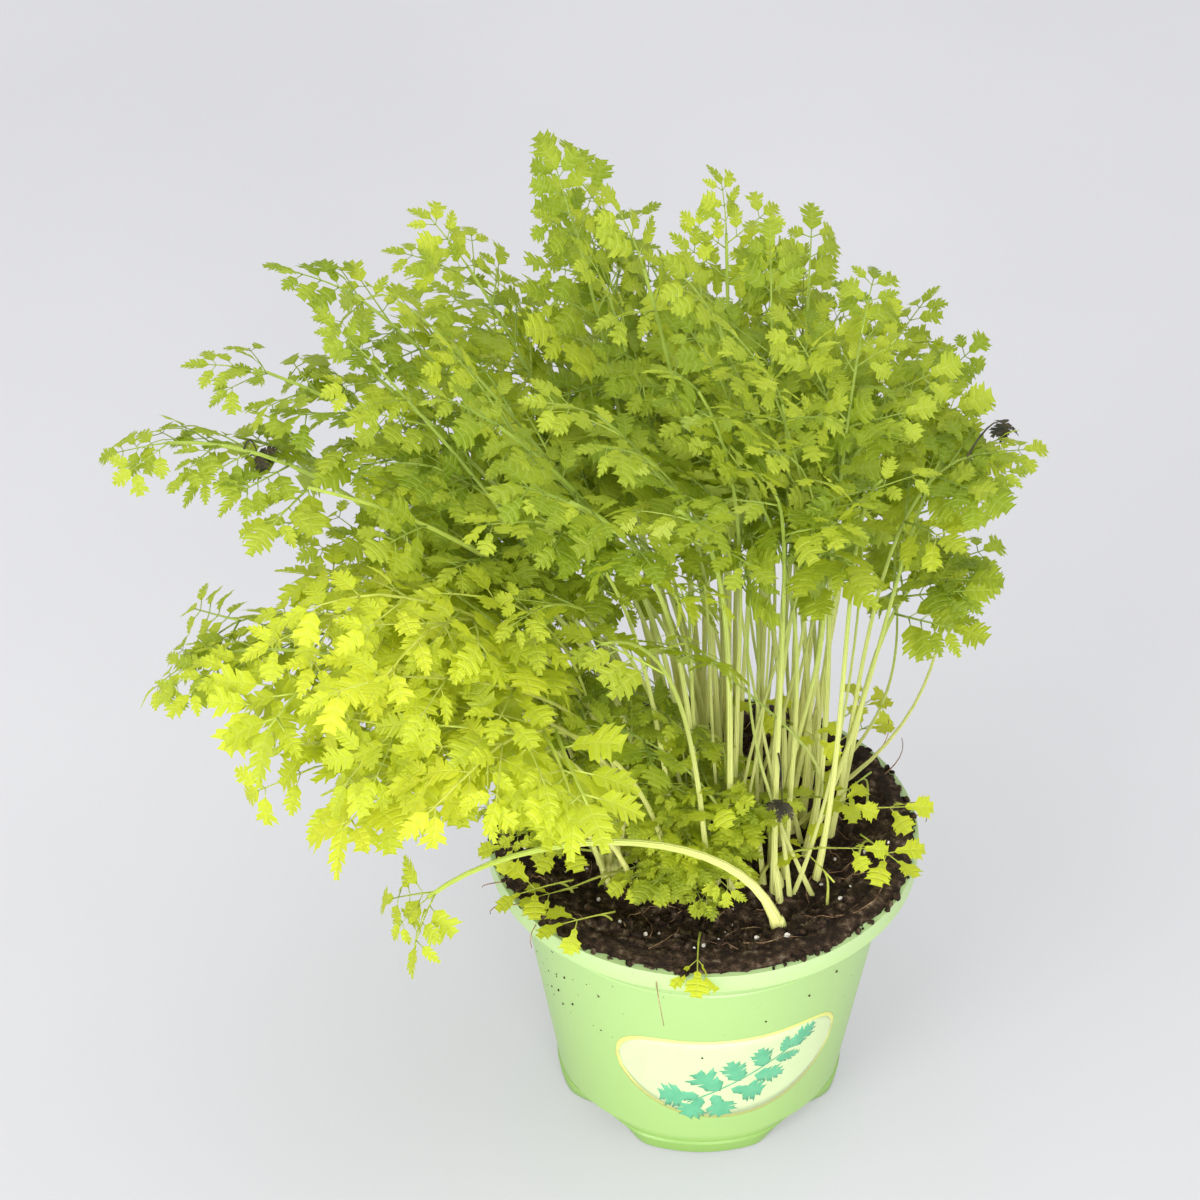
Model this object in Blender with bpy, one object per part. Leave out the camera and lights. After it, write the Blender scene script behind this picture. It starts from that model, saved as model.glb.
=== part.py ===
"""Potted chervil: a clump of ferny leaves in soil, in a thin-walled plastic herb pot.

Frame: metres, +Z up. The origin is the centre of the pot's underside, on the floor.
The front of the pot faces -Y. The clump leans to -X, over the pot's left rim.
"""
from math import atan2, copysign, cos, degrees, hypot, pi, radians, sin, sqrt

import bmesh
import bpy
from mathutils import Matrix, Vector
from mathutils.bvhtree import BVHTree

# Driving dimensions of the pot.
POT_HEIGHT = 0.0855
RIM_RADIUS = 0.060
LIP_WIDTH = 0.0052
LIP_DEPTH = 0.0055
LIP_EDGE = 0.0006
BASE_RADIUS = 0.0405
WALL = 0.0012
BASE_THICKNESS = 0.0016
FOOT_BAND = 0.0035
FOOT_STEP = 0.0006
FOOT_COUNT = 4
NOTCH_HEIGHT = 0.0065
NOTCH_DEPTH = 0.0055
NOTCH_HALF_ANGLE = radians(24)
NOTCH_SLACK = 0.0020
POT_STEPS = 48
DRAIN_HOLES = 6
DRAIN_SIDES = 12
DRAIN_RADIUS = 0.0035
DRAIN_CIRCLE = 0.0200

# Driving dimensions of the soil and of the holes that the leaves are planted in.
GAP = 0.0003
SOIL_BELOW_RIM = 0.0050
SOIL_MOUND = 0.0045
SOIL_LUMP = 0.0007
SOIL_LUMP_PITCH = 0.0060
SOIL_RINGS = 4
PLANTING_DEPTH = 0.008
HOLE_SIDES = 6
STEM_HALF_WIDTH = 0.0011
STEM_TAPER = 0.45

# Driving dimensions of the clump.
PLANTING_MARGIN = 0.0138
PLANTING_CENTRE = (0.002, 0.004)
PLANTING_SPOTS = 40
CLUMP_HEIGHT = 0.200
CLUMP_WIDTH = 0.124
CLUMP_DEPTH = 0.104
CLUMP_LEAN = 0.038
CROWN_RISE = 0.068
CROWN_SHIFT = 0.010
OUTER_TILT = radians(84)
DROOP_SIDE = radians(205)
DROOP_SPREAD = radians(20)
OPENING_SIDE = radians(290)
OPENING_SPREAD = radians(26)
ROOT_TILT = 0.21
LOWER_REACH = 0.44
UPPER_REACH = 0.36
SHORTENING = 0.5
PINNA_LENGTH = 0.019
PINNA_PAIRS = 4
PINNA_SWEEP = radians(34)
PINNA_ROOT = 0.0024
BLADE_START = 0.56
BLADE_THICKNESS = 0.0008
PINNA_WIDEST = 0.42
PINNA_HALF_WIDTH = 0.30
PINNA_ROOM = 0.34
FIRST_PINNA = 1.12
PINNA_SHRINK = 0.55
TIP_LENGTH = 0.62
STALK_STEPS = 5
YOUNG_PINNA_LENGTH = 0.0085
YOUNG_BLADE_START = 0.50
YOUNG_SLOPE = 10
GOLDEN_ANGLE = radians(137.50776)
FIRST_SPOT_ANGLE = 0.9

# Leaves that reach out of the clump: planting spot, tip (m, its height above the rim), tip's slope
# (degrees).
REACHING_LEAVES = {
    "leaf_far_left": (35, (-0.163, 0.006, 0.1205), -32),
    "leaf_left_spray": (27, (-0.140, 0.022, 0.1465), 8),
    "leaf_low_left": (30, (-0.152, -0.014, 0.0605), -48),
    "leaf_front_left": (38, (-0.112, -0.062, 0.0525), -50),
    "leaf_upper_left": (32, (-0.114, 0.034, 0.1725), 35),
    "leaf_top_left": (19, (-0.078, 0.044, 0.1825), 50),
    "leaf_top": (11, (-0.042, 0.042, 0.1995), 72),
    "leaf_top_right": (8, (0.003, 0.044, 0.1975), 76),
    "leaf_right": (31, (0.083, 0.010, 0.1195), -28),
    "leaf_low_right": (39, (0.072, 0.032, 0.0705), -20),
    "leaf_right_high": (26, (0.074, 0.044, 0.1325), 12),
    "leaf_right_back": (34, (0.061, 0.070, 0.1345), 30),
    "leaf_front_high": (22, (-0.114, -0.044, 0.1005), -18),
    "leaf_front_mid": (17, (-0.092, -0.066, 0.0765), -42),
    "leaf_front_low": (25, (-0.066, -0.086, 0.0825), -46),
}

# The leaf that has fallen over the rim: root's angle and its inset from the soil's edge, tip, slope.
FALLEN_ROOT = (radians(-62.5), 0.0085)
FALLEN_TIP = (-0.083, -0.074, 0.0265)
FALLEN_SLOPE = -62
FALLEN_BLADE_START = 0.66

# Young leaves: root's angle, its inset from the soil's edge, tip's offset from the root (m).
YOUNG_LEAVES = {
    "young_leaf_1": (radians(-18), 0.0078, (0.004, -0.006, 0.016)),
    "young_leaf_2": (radians(-92), 0.0108, (-0.001, -0.009, 0.006)),
    "young_leaf_3": (radians(-42), 0.0068, (-0.002, 0.003, 0.014)),
    "young_leaf_4": (radians(-143), 0.0078, (-0.006, -0.003, 0.010)),
    "young_leaf_5": (radians(8), 0.0053, (-0.003, -0.004, 0.020)),
    "young_leaf_6": (radians(-122), 0.0068, (-0.006, -0.003, 0.009)),
    "young_leaf_7": (radians(38), 0.0063, (0.005, 0.003, 0.012)),
    "young_leaf_8": (radians(100), 0.0058, (-0.004, 0.005, 0.015)),
}

# What a growing leaf may change, in this order, to keep clear of the leaves before it.
SIZES = (1.0, 0.8, 0.6, 0.45, 0.3)
SWAYS = tuple(step * 0.007 for step in (0, 1, -1, 2, -2, 3, -3, 4, -4, 5, -5, 6, -6, 7, -7, 8, -8))
TURNS = tuple(radians(step * 15) for step in (0, 1, -1, 2, -2, 3, -3, 4, -4, 5, -5, 6))

GREEN_PLASTIC = ((0.50, 0.78, 0.22, 1.0), 0.42)
DARK_SOIL = ((0.045, 0.028, 0.018, 1.0), 0.95)
LEAF_GREEN = ((0.30, 0.46, 0.06, 1.0), 0.55)
YOUNG_GREEN = ((0.52, 0.60, 0.07, 1.0), 0.55)


def clear_scene():
    """Remove every object, so that the model starts empty."""
    for obj in list(bpy.data.objects):
        bpy.data.objects.remove(obj, do_unlink=True)


def material(name, look):
    """Return a Principled material with one colour and roughness."""
    made = bpy.data.materials.new(name)
    made.use_nodes = True
    shader = made.node_tree.nodes["Principled BSDF"]
    shader.inputs["Base Color"].default_value = look[0]
    shader.inputs["Roughness"].default_value = look[1]
    shader.inputs["Metallic"].default_value = 0.0
    return made


def finish_piece(name, bm, finish, parent):
    """Turn a bmesh into a named object under its parent."""
    mesh = bpy.data.meshes.new(name)
    bm.to_mesh(mesh)
    bm.free()
    mesh.materials.append(finish)
    piece = bpy.data.objects.new(name, mesh)
    bpy.context.scene.collection.objects.link(piece)
    piece.parent = parent
    return piece


def cut(piece, cutter, name):
    """Take a cutter's shape out of a piece."""
    cutter.hide_render = True
    cutter.display_type = "WIRE"
    boolean = piece.modifiers.new(name, "BOOLEAN")
    boolean.operation = "DIFFERENCE"
    boolean.solver = "EXACT"
    boolean.object = cutter


# ---------------------------------------------------------------------------- pot


def outer_radius(z):
    """The pot's outer wall above its foot band."""
    top = RIM_RADIUS - LIP_WIDTH
    return BASE_RADIUS + (top - BASE_RADIUS) * z / POT_HEIGHT - FOOT_STEP


def inner_radius(z):
    """The pot's inner wall."""
    return outer_radius(z) - WALL


def notch_push(angle, z, slack):
    """How far a wall is pushed in at the cut-outs between the feet."""
    pitch = 2 * pi / FOOT_COUNT
    first = -pi / 2 + pitch / 2
    off_centre = abs((angle - first + pitch / 2) % pitch - pitch / 2)
    height = NOTCH_HEIGHT + slack
    half_angle = NOTCH_HALF_ANGLE + (2 * pi / POT_STEPS if slack else 0.0)
    if off_centre > half_angle or z >= height:
        return 0.0
    return (NOTCH_DEPTH + slack) * (1 - z / height) * (1 - (off_centre / half_angle) ** 2)


def turned(profile, slack=0.0):
    """Spin a closed half-section about Z, and push in the cut-outs between the feet."""
    bm = bmesh.new()
    verts = [bm.verts.new((radius, 0.0, z)) for radius, z in profile]
    edges = [bm.edges.new(pair) for pair in zip(verts, verts[1:])]
    bmesh.ops.spin(
        bm, geom=verts + edges, axis=(0, 0, 1), cent=(0, 0, 0), angle=2 * pi,
        steps=POT_STEPS, use_merge=True,
    )
    bmesh.ops.remove_doubles(bm, verts=bm.verts, dist=1e-6)
    for vert in bm.verts:
        radius = hypot(vert.co.x, vert.co.y)
        if radius > DRAIN_CIRCLE + DRAIN_RADIUS:
            scale = 1 - notch_push(atan2(vert.co.y, vert.co.x), vert.co.z, slack) / radius
            vert.co.x *= scale
            vert.co.y *= scale
    bmesh.ops.recalc_face_normals(bm, faces=bm.faces)
    return bm


def pot_profile():
    """The pot's section: out along the base, up the wall, over the lip and down inside."""
    under_lip = POT_HEIGHT - WALL
    skirt = RIM_RADIUS - WALL
    return [
        (0.0, 0.0),
        (BASE_RADIUS, 0.0),
        (outer_radius(FOOT_BAND) + FOOT_STEP, FOOT_BAND),
        (outer_radius(FOOT_BAND + FOOT_STEP), FOOT_BAND + FOOT_STEP),
        (outer_radius(NOTCH_HEIGHT), NOTCH_HEIGHT),
        (outer_radius(under_lip), under_lip),
        (skirt, under_lip),
        (skirt, POT_HEIGHT - LIP_DEPTH),
        (RIM_RADIUS, POT_HEIGHT - LIP_DEPTH),
        (RIM_RADIUS, POT_HEIGHT - LIP_EDGE),
        (RIM_RADIUS - LIP_EDGE, POT_HEIGHT),
        (inner_radius(POT_HEIGHT), POT_HEIGHT),
        (inner_radius(NOTCH_HEIGHT), NOTCH_HEIGHT),
        (inner_radius(BASE_THICKNESS), BASE_THICKNESS),
        (0.0, BASE_THICKNESS),
    ]


def drain_cutter(parent):
    """Cylinders on a circle, one for each drain hole in the base."""
    bm = bmesh.new()
    for index in range(DRAIN_HOLES):
        angle = 2 * pi * index / DRAIN_HOLES
        centre = (DRAIN_CIRCLE * cos(angle), DRAIN_CIRCLE * sin(angle), BASE_THICKNESS / 2)
        place = Matrix.Translation(centre)
        bmesh.ops.create_cone(
            bm, cap_ends=True, segments=DRAIN_SIDES, radius1=DRAIN_RADIUS, radius2=DRAIN_RADIUS,
            depth=3 * BASE_THICKNESS, matrix=place,
        )
    return finish_piece("drain_cutter", bm, material("cutter", DARK_SOIL), parent)


def make_pot(parent):
    """The thin plastic pot with its turned-down lip, four feet and drain holes."""
    pot = finish_piece("pot", turned(pot_profile()), material("green_plastic", GREEN_PLASTIC), parent)
    cut(pot, drain_cutter(parent), "drain_holes")
    pot.data.shade_smooth()
    pot.data.set_sharp_from_angle(angle=radians(35))
    return pot


# --------------------------------------------------------------------------- soil


def soil_height(x, y):
    """The soil's surface: a low mound with gentle lumps, level at the pot's wall."""
    edge = POT_HEIGHT - SOIL_BELOW_RIM
    share = min(hypot(x, y) / soil_edge_radius(), 1.0)
    lumps = SOIL_LUMP * sin(x / SOIL_LUMP_PITCH) * sin(y / SOIL_LUMP_PITCH + 1.0)
    return edge + (SOIL_MOUND + lumps) * (1 - share * share)


def make_soil(parent):
    """The root ball: it fills the pot up to just below the rim."""
    floor = BASE_THICKNESS + GAP
    edge = POT_HEIGHT - SOIL_BELOW_RIM
    outline = [
        (0.0, floor),
        (inner_radius(floor) - GAP, floor),
        (inner_radius(NOTCH_HEIGHT + NOTCH_SLACK) - GAP, NOTCH_HEIGHT + NOTCH_SLACK),
    ]
    for ring in range(SOIL_RINGS, -1, -1):
        outline.append((soil_edge_radius() * ring / SOIL_RINGS, edge))
    bm = turned(outline, NOTCH_SLACK)
    for vert in bm.verts:
        if vert.co.z > edge - GAP:
            vert.co.z = soil_height(vert.co.x, vert.co.y)
    return finish_piece("soil", bm, material("dark_soil", DARK_SOIL), parent)


def soil_edge_radius():
    """How far the soil reaches from the pot's axis at its top."""
    return inner_radius(POT_HEIGHT - SOIL_BELOW_RIM) - GAP


def edge_root(angle, inset):
    """A root at an angle around the pot, set in from the soil's edge."""
    distance = soil_edge_radius() - inset
    return distance * cos(angle), distance * sin(angle)


def hole_cutter(plans, parent):
    """One six-sided hole for each leaf's root, along the stem and a clearance wider than it."""
    bm = bmesh.new()
    half_diagonal = STEM_HALF_WIDTH * sqrt(2)
    radius = (half_diagonal + GAP) / cos(pi / HOLE_SIDES)
    for plan in plans:
        turn = plan["rise"].to_track_quat("Z", "Y").to_matrix().to_4x4()
        place = Matrix.Translation(plan["ground"]) @ turn
        bmesh.ops.create_cone(
            bm, cap_ends=True, segments=HOLE_SIDES, radius1=radius, radius2=radius,
            depth=2 * PLANTING_DEPTH, matrix=place,
        )
    return finish_piece("hole_cutter", bm, material("cutter", DARK_SOIL), parent)


# -------------------------------------------------------------------------- leaves


def planting_spot(index):
    """A spot of the sunflower pattern that spreads the roots evenly over the soil."""
    radius = (soil_edge_radius() - PLANTING_MARGIN) * sqrt((index + 0.6) / PLANTING_SPOTS)
    angle = index * GOLDEN_ANGLE + FIRST_SPOT_ANGLE
    return PLANTING_CENTRE[0] + radius * cos(angle), PLANTING_CENTRE[1] + radius * sin(angle)


def widest_tilt(angle):
    """How far the outermost leaves lean: most at the front left, least at the open front."""
    droop = DROOP_SPREAD * cos(angle - DROOP_SIDE)
    opening = OPENING_SPREAD * max(0.0, cos(angle - OPENING_SIDE)) ** 2
    return OUTER_TILT + droop - opening


def leaf_plan(name, root, tip, slope):
    """Where one leaf is rooted, where it rises and where its tip hangs."""
    ground = Vector((root[0], root[1], soil_height(*root)))
    out = (tip - ground) * Vector((1, 1, 0))
    out.normalize()
    rise = (Vector((0, 0, 1)) + out * ROOT_TILT * hypot(*root) / soil_edge_radius()).normalized()
    end = out * cos(radians(slope)) + Vector((0, 0, 1)) * sin(radians(slope))
    return {
        "name": name, "ground": ground, "rise": rise, "tip": tip, "end": end,
        "side": Vector((0, 0, 1)).cross(out), "pinna": PINNA_LENGTH, "pairs": PINNA_PAIRS,
        "blade": BLADE_START,
    }


def crown_leaf(index):
    """A leaf of the rounded crown: its tip lies on a half-egg that leans over the pot's side."""
    angle = index * GOLDEN_ANGLE + FIRST_SPOT_ANGLE
    share = (index + 0.6) / PLANTING_SPOTS
    tilt = widest_tilt(angle) * sqrt(share) ** 0.9
    reach = sin(tilt)
    centre = Vector((-CLUMP_LEAN, CROWN_SHIFT, POT_HEIGHT + CROWN_RISE))
    across = Vector((CLUMP_WIDTH * reach * cos(angle), CLUMP_DEPTH * reach * sin(angle), 0))
    tip = centre + across + Vector((0, 0, (CLUMP_HEIGHT - CROWN_RISE) * cos(tilt)))
    slope = 84 - 1.25 * degrees(tilt)
    return leaf_plan(f"leaf_{index + 1:02d}", planting_spot(index), tip, slope)


def young_leaf(name, angle, inset, offset):
    """A short leaf with three small rounded lobes, close to the soil."""
    root = edge_root(angle, inset)
    tip = Vector((root[0], root[1], soil_height(*root))) + Vector(offset)
    plan = leaf_plan(name, root, tip, YOUNG_SLOPE)
    plan.update({"pinna": YOUNG_PINNA_LENGTH, "pairs": 1, "blade": YOUNG_BLADE_START})
    return plan


def above_rim(tip):
    """A tip whose height is given above the pot's rim."""
    return Vector(tip) + Vector((0, 0, POT_HEIGHT))


def all_plans():
    """Every leaf of the clump, those that reach out of it first."""
    plans = [leaf_plan(name, planting_spot(spot), above_rim(tip), slope)
             for name, (spot, tip, slope) in REACHING_LEAVES.items()]
    fallen = leaf_plan("leaf_fallen", edge_root(*FALLEN_ROOT), above_rim(FALLEN_TIP), FALLEN_SLOPE)
    fallen["blade"] = FALLEN_BLADE_START
    plans.append(fallen)
    taken = {spot for spot, tip, slope in REACHING_LEAVES.values()}
    plans += [crown_leaf(index) for index in range(PLANTING_SPOTS) if index not in taken]
    plans += [young_leaf(name, *values) for name, values in YOUNG_LEAVES.items()]
    return plans


def stem_tip(plan, size):
    """Where the tip is: a leaf that stays smaller is shorter too."""
    return plan["ground"].lerp(plan["tip"], 1 - (1 - size) * SHORTENING)


def stem_point(plan, sway, size, share):
    """A point and the direction at a share of the stem's curve, from the ground to the tip."""
    tip = stem_tip(plan, size)
    span = (tip - plan["ground"]).length
    knots = (
        plan["ground"],
        plan["ground"] + plan["rise"] * LOWER_REACH * span + plan["side"] * sway * 0.4,
        tip - plan["end"] * UPPER_REACH * span + plan["side"] * sway,
        tip + plan["side"] * sway * 0.5,
    )
    rest = 1 - share
    weights = (rest**3, 3 * share * rest**2, 3 * share**2 * rest, share**3)
    point = sum((knot * weight for knot, weight in zip(knots, weights)), Vector())
    slopes = (rest**2, 2 * share * rest, share**2)
    along = sum(((b - a) * weight for a, b, weight in zip(knots, knots[1:], slopes)), Vector())
    return point, along.normalized()


def stem_frame(plan, sway, turn, size, share):
    """The stem's place at a share of its curve, as point, side, normal and direction."""
    point, along = stem_point(plan, sway, size, share)
    side = (plan["side"] - along * plan["side"].dot(along)).normalized()
    side = Matrix.Rotation(turn, 3, along) @ side
    return point, side, along.cross(side), along


def extrude_to(bm, face, centre, across, normal, half_width, half_thickness):
    """Extrude a four-cornered face to a new rectangle, and return the new end face."""
    middle = face.calc_center_median()
    end = bmesh.ops.extrude_discrete_faces(bm, faces=[face])["faces"][0]
    for vert in end.verts:
        offset = vert.co - middle
        wide = copysign(half_width, offset.dot(across))
        thick = copysign(half_thickness, offset.dot(normal))
        vert.co = centre + across * wide + normal * thick
    return end


def grow_pinna(bm, face, frame, facing, length, half_width):
    """Pull one side face of the stem out into a thin kite-shaped blade."""
    point, side, normal, along = frame
    root = face.calc_center_median()
    out = side * facing * cos(PINNA_SWEEP) + along * sin(PINNA_SWEEP)
    across = out.cross(normal).normalized()
    half = BLADE_THICKNESS / 2
    face = extrude_to(bm, face, root + out * PINNA_WIDEST * length, across, normal, half_width, half)
    tip = root + out * length - normal * 0.06 * length
    extrude_to(bm, face, tip, across, normal, 0.03 * length, half)


def grow_pinna_pair(bm, end, frame, length, room):
    """Grow a pinna from each of the two side faces just behind the stem's end face."""
    half_width = min(PINNA_HALF_WIDTH * length, PINNA_ROOM * room)
    flanks = [face for edge in end.edges for face in edge.link_faces if face is not end]
    for flank in flanks:
        flank.normal_update()
        facing = flank.normal.dot(frame[1])
        if abs(facing) > cos(radians(45)):
            grow_pinna(bm, flank, frame, copysign(1, facing), length, half_width)


def buried_root(bm, plan, frame):
    """The stem's foot in its planting hole, closed below: returns the face at soil level."""
    point, side, normal, along = frame
    foot = plan["ground"] - plan["rise"] * (PLANTING_DEPTH - GAP)
    signs = ((1, 1), (-1, 1), (-1, -1), (1, -1))
    corners = [foot + (side * x + normal * y) * STEM_HALF_WIDTH for x, y in signs]
    end = bm.faces.new([bm.verts.new(corner) for corner in corners])
    bmesh.ops.duplicate(bm, geom=[end])
    return extrude_to(bm, end, plan["ground"], side, normal, STEM_HALF_WIDTH, STEM_HALF_WIDTH)


def leaf_mesh(plan, sway, turn, size):
    """Grow one leaf: a square stem, pairs of pinnae along its upper part, and a tip."""
    blade = plan["blade"]
    pairs = plan["pairs"]
    stalk = [blade * step / STALK_STEPS for step in range(1, STALK_STEPS + 1)]
    pinna_at = [blade + (1 - blade) * (pair + 0.5) / (pairs + 0.6) for pair in range(pairs)]
    roots = [stem_point(plan, sway, size, share)[0] for share in pinna_at + [1.0]]
    room = min((b - a).length for a, b in zip(roots, roots[1:]))
    half_root = PINNA_ROOT / 2 / (stem_tip(plan, size) - plan["ground"]).length
    bm = bmesh.new()
    end = buried_root(bm, plan, stem_frame(plan, sway, turn, size, 0.0))

    def grow_stem(end, share):
        frame = stem_frame(plan, sway, turn, size, share)
        half = STEM_HALF_WIDTH * (1 - (1 - STEM_TAPER) * share)
        return extrude_to(bm, end, frame[0], frame[1], frame[2], half, half), frame

    for share in stalk:
        end, frame = grow_stem(end, share)
    for pair, share in enumerate(pinna_at):
        end, frame = grow_stem(end, share - half_root)
        end, frame = grow_stem(end, share + half_root)
        length = plan["pinna"] * size * (FIRST_PINNA - PINNA_SHRINK * pair / pairs)
        grow_pinna_pair(bm, end, frame, length, room)

    point, side, normal, along = stem_frame(plan, sway, turn, size, 1.0)
    length = min(plan["pinna"] * size * TIP_LENGTH, 0.9 * (roots[-1] - roots[-2]).length)
    half = BLADE_THICKNESS / 2
    half_width = min(PINNA_HALF_WIDTH * length, PINNA_ROOM * room)
    end = extrude_to(bm, end, point - along * length * 0.45, side, normal, half_width, half)
    extrude_to(bm, end, point, side, normal, 0.04 * length, half)
    bmesh.ops.remove_doubles(bm, verts=bm.verts, dist=1e-7)
    bmesh.ops.recalc_face_normals(bm, faces=bm.faces)
    if bm.calc_volume(signed=True) < 0:
        bmesh.ops.reverse_faces(bm, faces=bm.faces)
    return bm


def crosses_itself(bm):
    """Whether two faces of a leaf that share no corner cut through each other."""
    bm.faces.ensure_lookup_table()
    tree = BVHTree.FromBMesh(bm)
    pairs = [(bm.faces[a], bm.faces[b]) for a, b in tree.overlap(tree) if a < b]
    return any(not set(one.verts) & set(other.verts) for one, other in pairs)


def is_clear(bm, neighbours):
    """Whether a leaf, grown by its clearance, touches neither itself nor what is there already."""
    bm.faces.index_update()
    if crosses_itself(bm):
        return False
    grown = bm.copy()
    grown.normal_update()
    for vert in grown.verts:
        vert.co += vert.normal * GAP * 0.8
    tree = BVHTree.FromBMesh(grown)
    grown.free()
    return not any(tree.overlap(other) for other in neighbours)


def grow_leaf(plan, neighbours):
    """Grow a leaf that sways, turns or stays smaller until it hangs clear of its neighbours."""
    for size in SIZES:
        for sway in SWAYS:
            for turn in TURNS:
                bm = leaf_mesh(plan, sway, turn, size)
                if is_clear(bm, neighbours):
                    print(plan["name"], "size", size, "sway", round(sway, 3), "turn", round(degrees(turn)))
                    return bm
                bm.free()
    print(plan["name"], "found no clear place")
    return leaf_mesh(plan, 0.0, 0.0, SIZES[-1])


def make_leaves(plans, settled, parent):
    """Grow the leaves one after another, each clear of all that came before."""
    green = material("leaf_green", LEAF_GREEN)
    young = material("young_green", YOUNG_GREEN)
    neighbours = list(settled)
    for plan in plans:
        bm = grow_leaf(plan, neighbours)
        neighbours.append(BVHTree.FromBMesh(bm))
        finish_piece(plan["name"], bm, young if plan["name"].startswith("young") else green, parent)


def main():
    """Build the pot, the soil and the leaves under one empty."""
    clear_scene()
    stand = bpy.data.objects.new("potted_chervil", None)
    bpy.context.scene.collection.objects.link(stand)
    pot = make_pot(stand)
    soil = make_soil(stand)
    plans = all_plans()
    cut(soil, hole_cutter(plans, stand), "planting_holes")
    bpy.context.view_layer.update()
    depsgraph = bpy.context.evaluated_depsgraph_get()
    settled = [BVHTree.FromObject(piece, depsgraph) for piece in (pot, soil)]
    make_leaves(plans, settled, stand)


main()
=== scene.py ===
# %% [markdown]
# # Potted chervil
#
# A clump of chervil grows in soil, in a thin plastic herb pot. About a hundred and fifty fronds
# rise from a few crowded crowns. Their leaflets are ferny and soft, and the whole clump leans over
# the pot's left rim. We build it around the measured CAD model: the pot, the soil and each CAD
# leaf get a detailed piece in the same place. Extra fronds fill the clump as a real sowing does.

import random
from math import atan2, cos, degrees, hypot, pi, radians, sin, sqrt

import bmesh
import bpy
from mathutils import Matrix, Vector, noise
from mathutils.bvhtree import BVHTree


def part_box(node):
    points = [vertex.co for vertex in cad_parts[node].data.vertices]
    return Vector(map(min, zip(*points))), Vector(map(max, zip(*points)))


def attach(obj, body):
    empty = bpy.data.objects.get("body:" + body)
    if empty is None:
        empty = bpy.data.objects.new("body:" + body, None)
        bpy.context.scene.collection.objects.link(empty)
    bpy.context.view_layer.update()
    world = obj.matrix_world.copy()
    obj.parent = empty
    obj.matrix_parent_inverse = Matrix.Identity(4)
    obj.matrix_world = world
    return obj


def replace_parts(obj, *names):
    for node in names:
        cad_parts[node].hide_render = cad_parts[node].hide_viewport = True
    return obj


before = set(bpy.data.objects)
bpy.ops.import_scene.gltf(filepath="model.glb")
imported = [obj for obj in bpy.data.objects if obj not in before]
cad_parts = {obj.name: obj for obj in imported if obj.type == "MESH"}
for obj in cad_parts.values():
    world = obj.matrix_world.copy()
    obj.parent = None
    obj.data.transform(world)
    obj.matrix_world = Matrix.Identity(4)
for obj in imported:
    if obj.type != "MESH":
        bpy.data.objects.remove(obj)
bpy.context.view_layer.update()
UP = Vector((0, 0, 1))

# %% [markdown]
# ## Camera
#
# The clump is seen from the front and from well above, as a person standing at a table sees it.
# A long lens from a little over a metre away keeps the pot's sides nearly straight. Only three
# values matter: where the camera stands, how far it looks down, and how long the lens is.

# %% Place the camera
LOOK_DOWN = radians(37.5)
FOCAL_LENGTH = 120
SENSOR_WIDTH = 36
CAMERA_PLACE = (-0.0287, -0.8452, 0.8148)
camera_data = bpy.data.cameras.new("camera")
camera_data.lens = FOCAL_LENGTH
camera_data.sensor_width = SENSOR_WIDTH
camera = bpy.data.objects.new("camera", camera_data)
camera.location = CAMERA_PLACE
camera.rotation_euler = (pi / 2 - LOOK_DOWN, 0, 0)
bpy.context.scene.collection.objects.link(camera)
bpy.context.scene.camera = camera
print("camera looks down", round(degrees(LOOK_DOWN), 1), "degrees")

# %% [markdown]
# ## Light and floor
#
# Herbs for a catalogue are shot in a white tent: light comes from everywhere and shadows are
# faint. A bright, even world gives that, and three large soft lamps add a little shape. The floor
# is one wide pale sheet that glows a little, as a light table does, so that shadows stay faint. A
# tiny noise in its colour stops it from looking like a flat fill.

# %% Light the tent
world = bpy.data.worlds.new("white_tent")
world.use_nodes = True
world.node_tree.nodes["Background"].inputs["Color"].default_value = (0.98, 0.985, 1.0, 1)
world.node_tree.nodes["Background"].inputs["Strength"].default_value = 1.0
bpy.context.scene.world = world
bpy.context.scene.view_settings.view_transform = "Standard"


def soft_lamp(name, place, aim, size, power):
    """A square area lamp at a place, turned to face a point."""
    lamp_data = bpy.data.lights.new(name, "AREA")
    lamp_data.size = size
    lamp_data.energy = power
    lamp = bpy.data.objects.new(name, lamp_data)
    lamp.location = place
    lamp.rotation_euler = (Vector(aim) - Vector(place)).to_track_quat("-Z", "Y").to_euler()
    bpy.context.scene.collection.objects.link(lamp)


CLUMP_MIDDLE = (-0.04, 0.0, 0.16)
soft_lamp("lamp_above", (0.0, -0.1, 1.4), CLUMP_MIDDLE, 1.2, 6)
soft_lamp("lamp_left", (-0.9, -1.1, 0.7), CLUMP_MIDDLE, 0.7, 14)
soft_lamp("lamp_right", (0.25, -1.35, 0.38), CLUMP_MIDDLE, 0.7, 17)

# %% [markdown]
# ## Shared noise for every finish
#
# No living or moulded surface has one colour. A small shader node group, built once, returns a
# mask that wanders from 0 to 1 over the object, at a scale each material chooses. It reads Object
# coordinates, so it stays put when the piece is exported or seen from another side.

# %% Build the mottle group


def link(tree, out_socket, in_socket):
    """Join two sockets."""
    tree.links.new(out_socket, in_socket)


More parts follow.
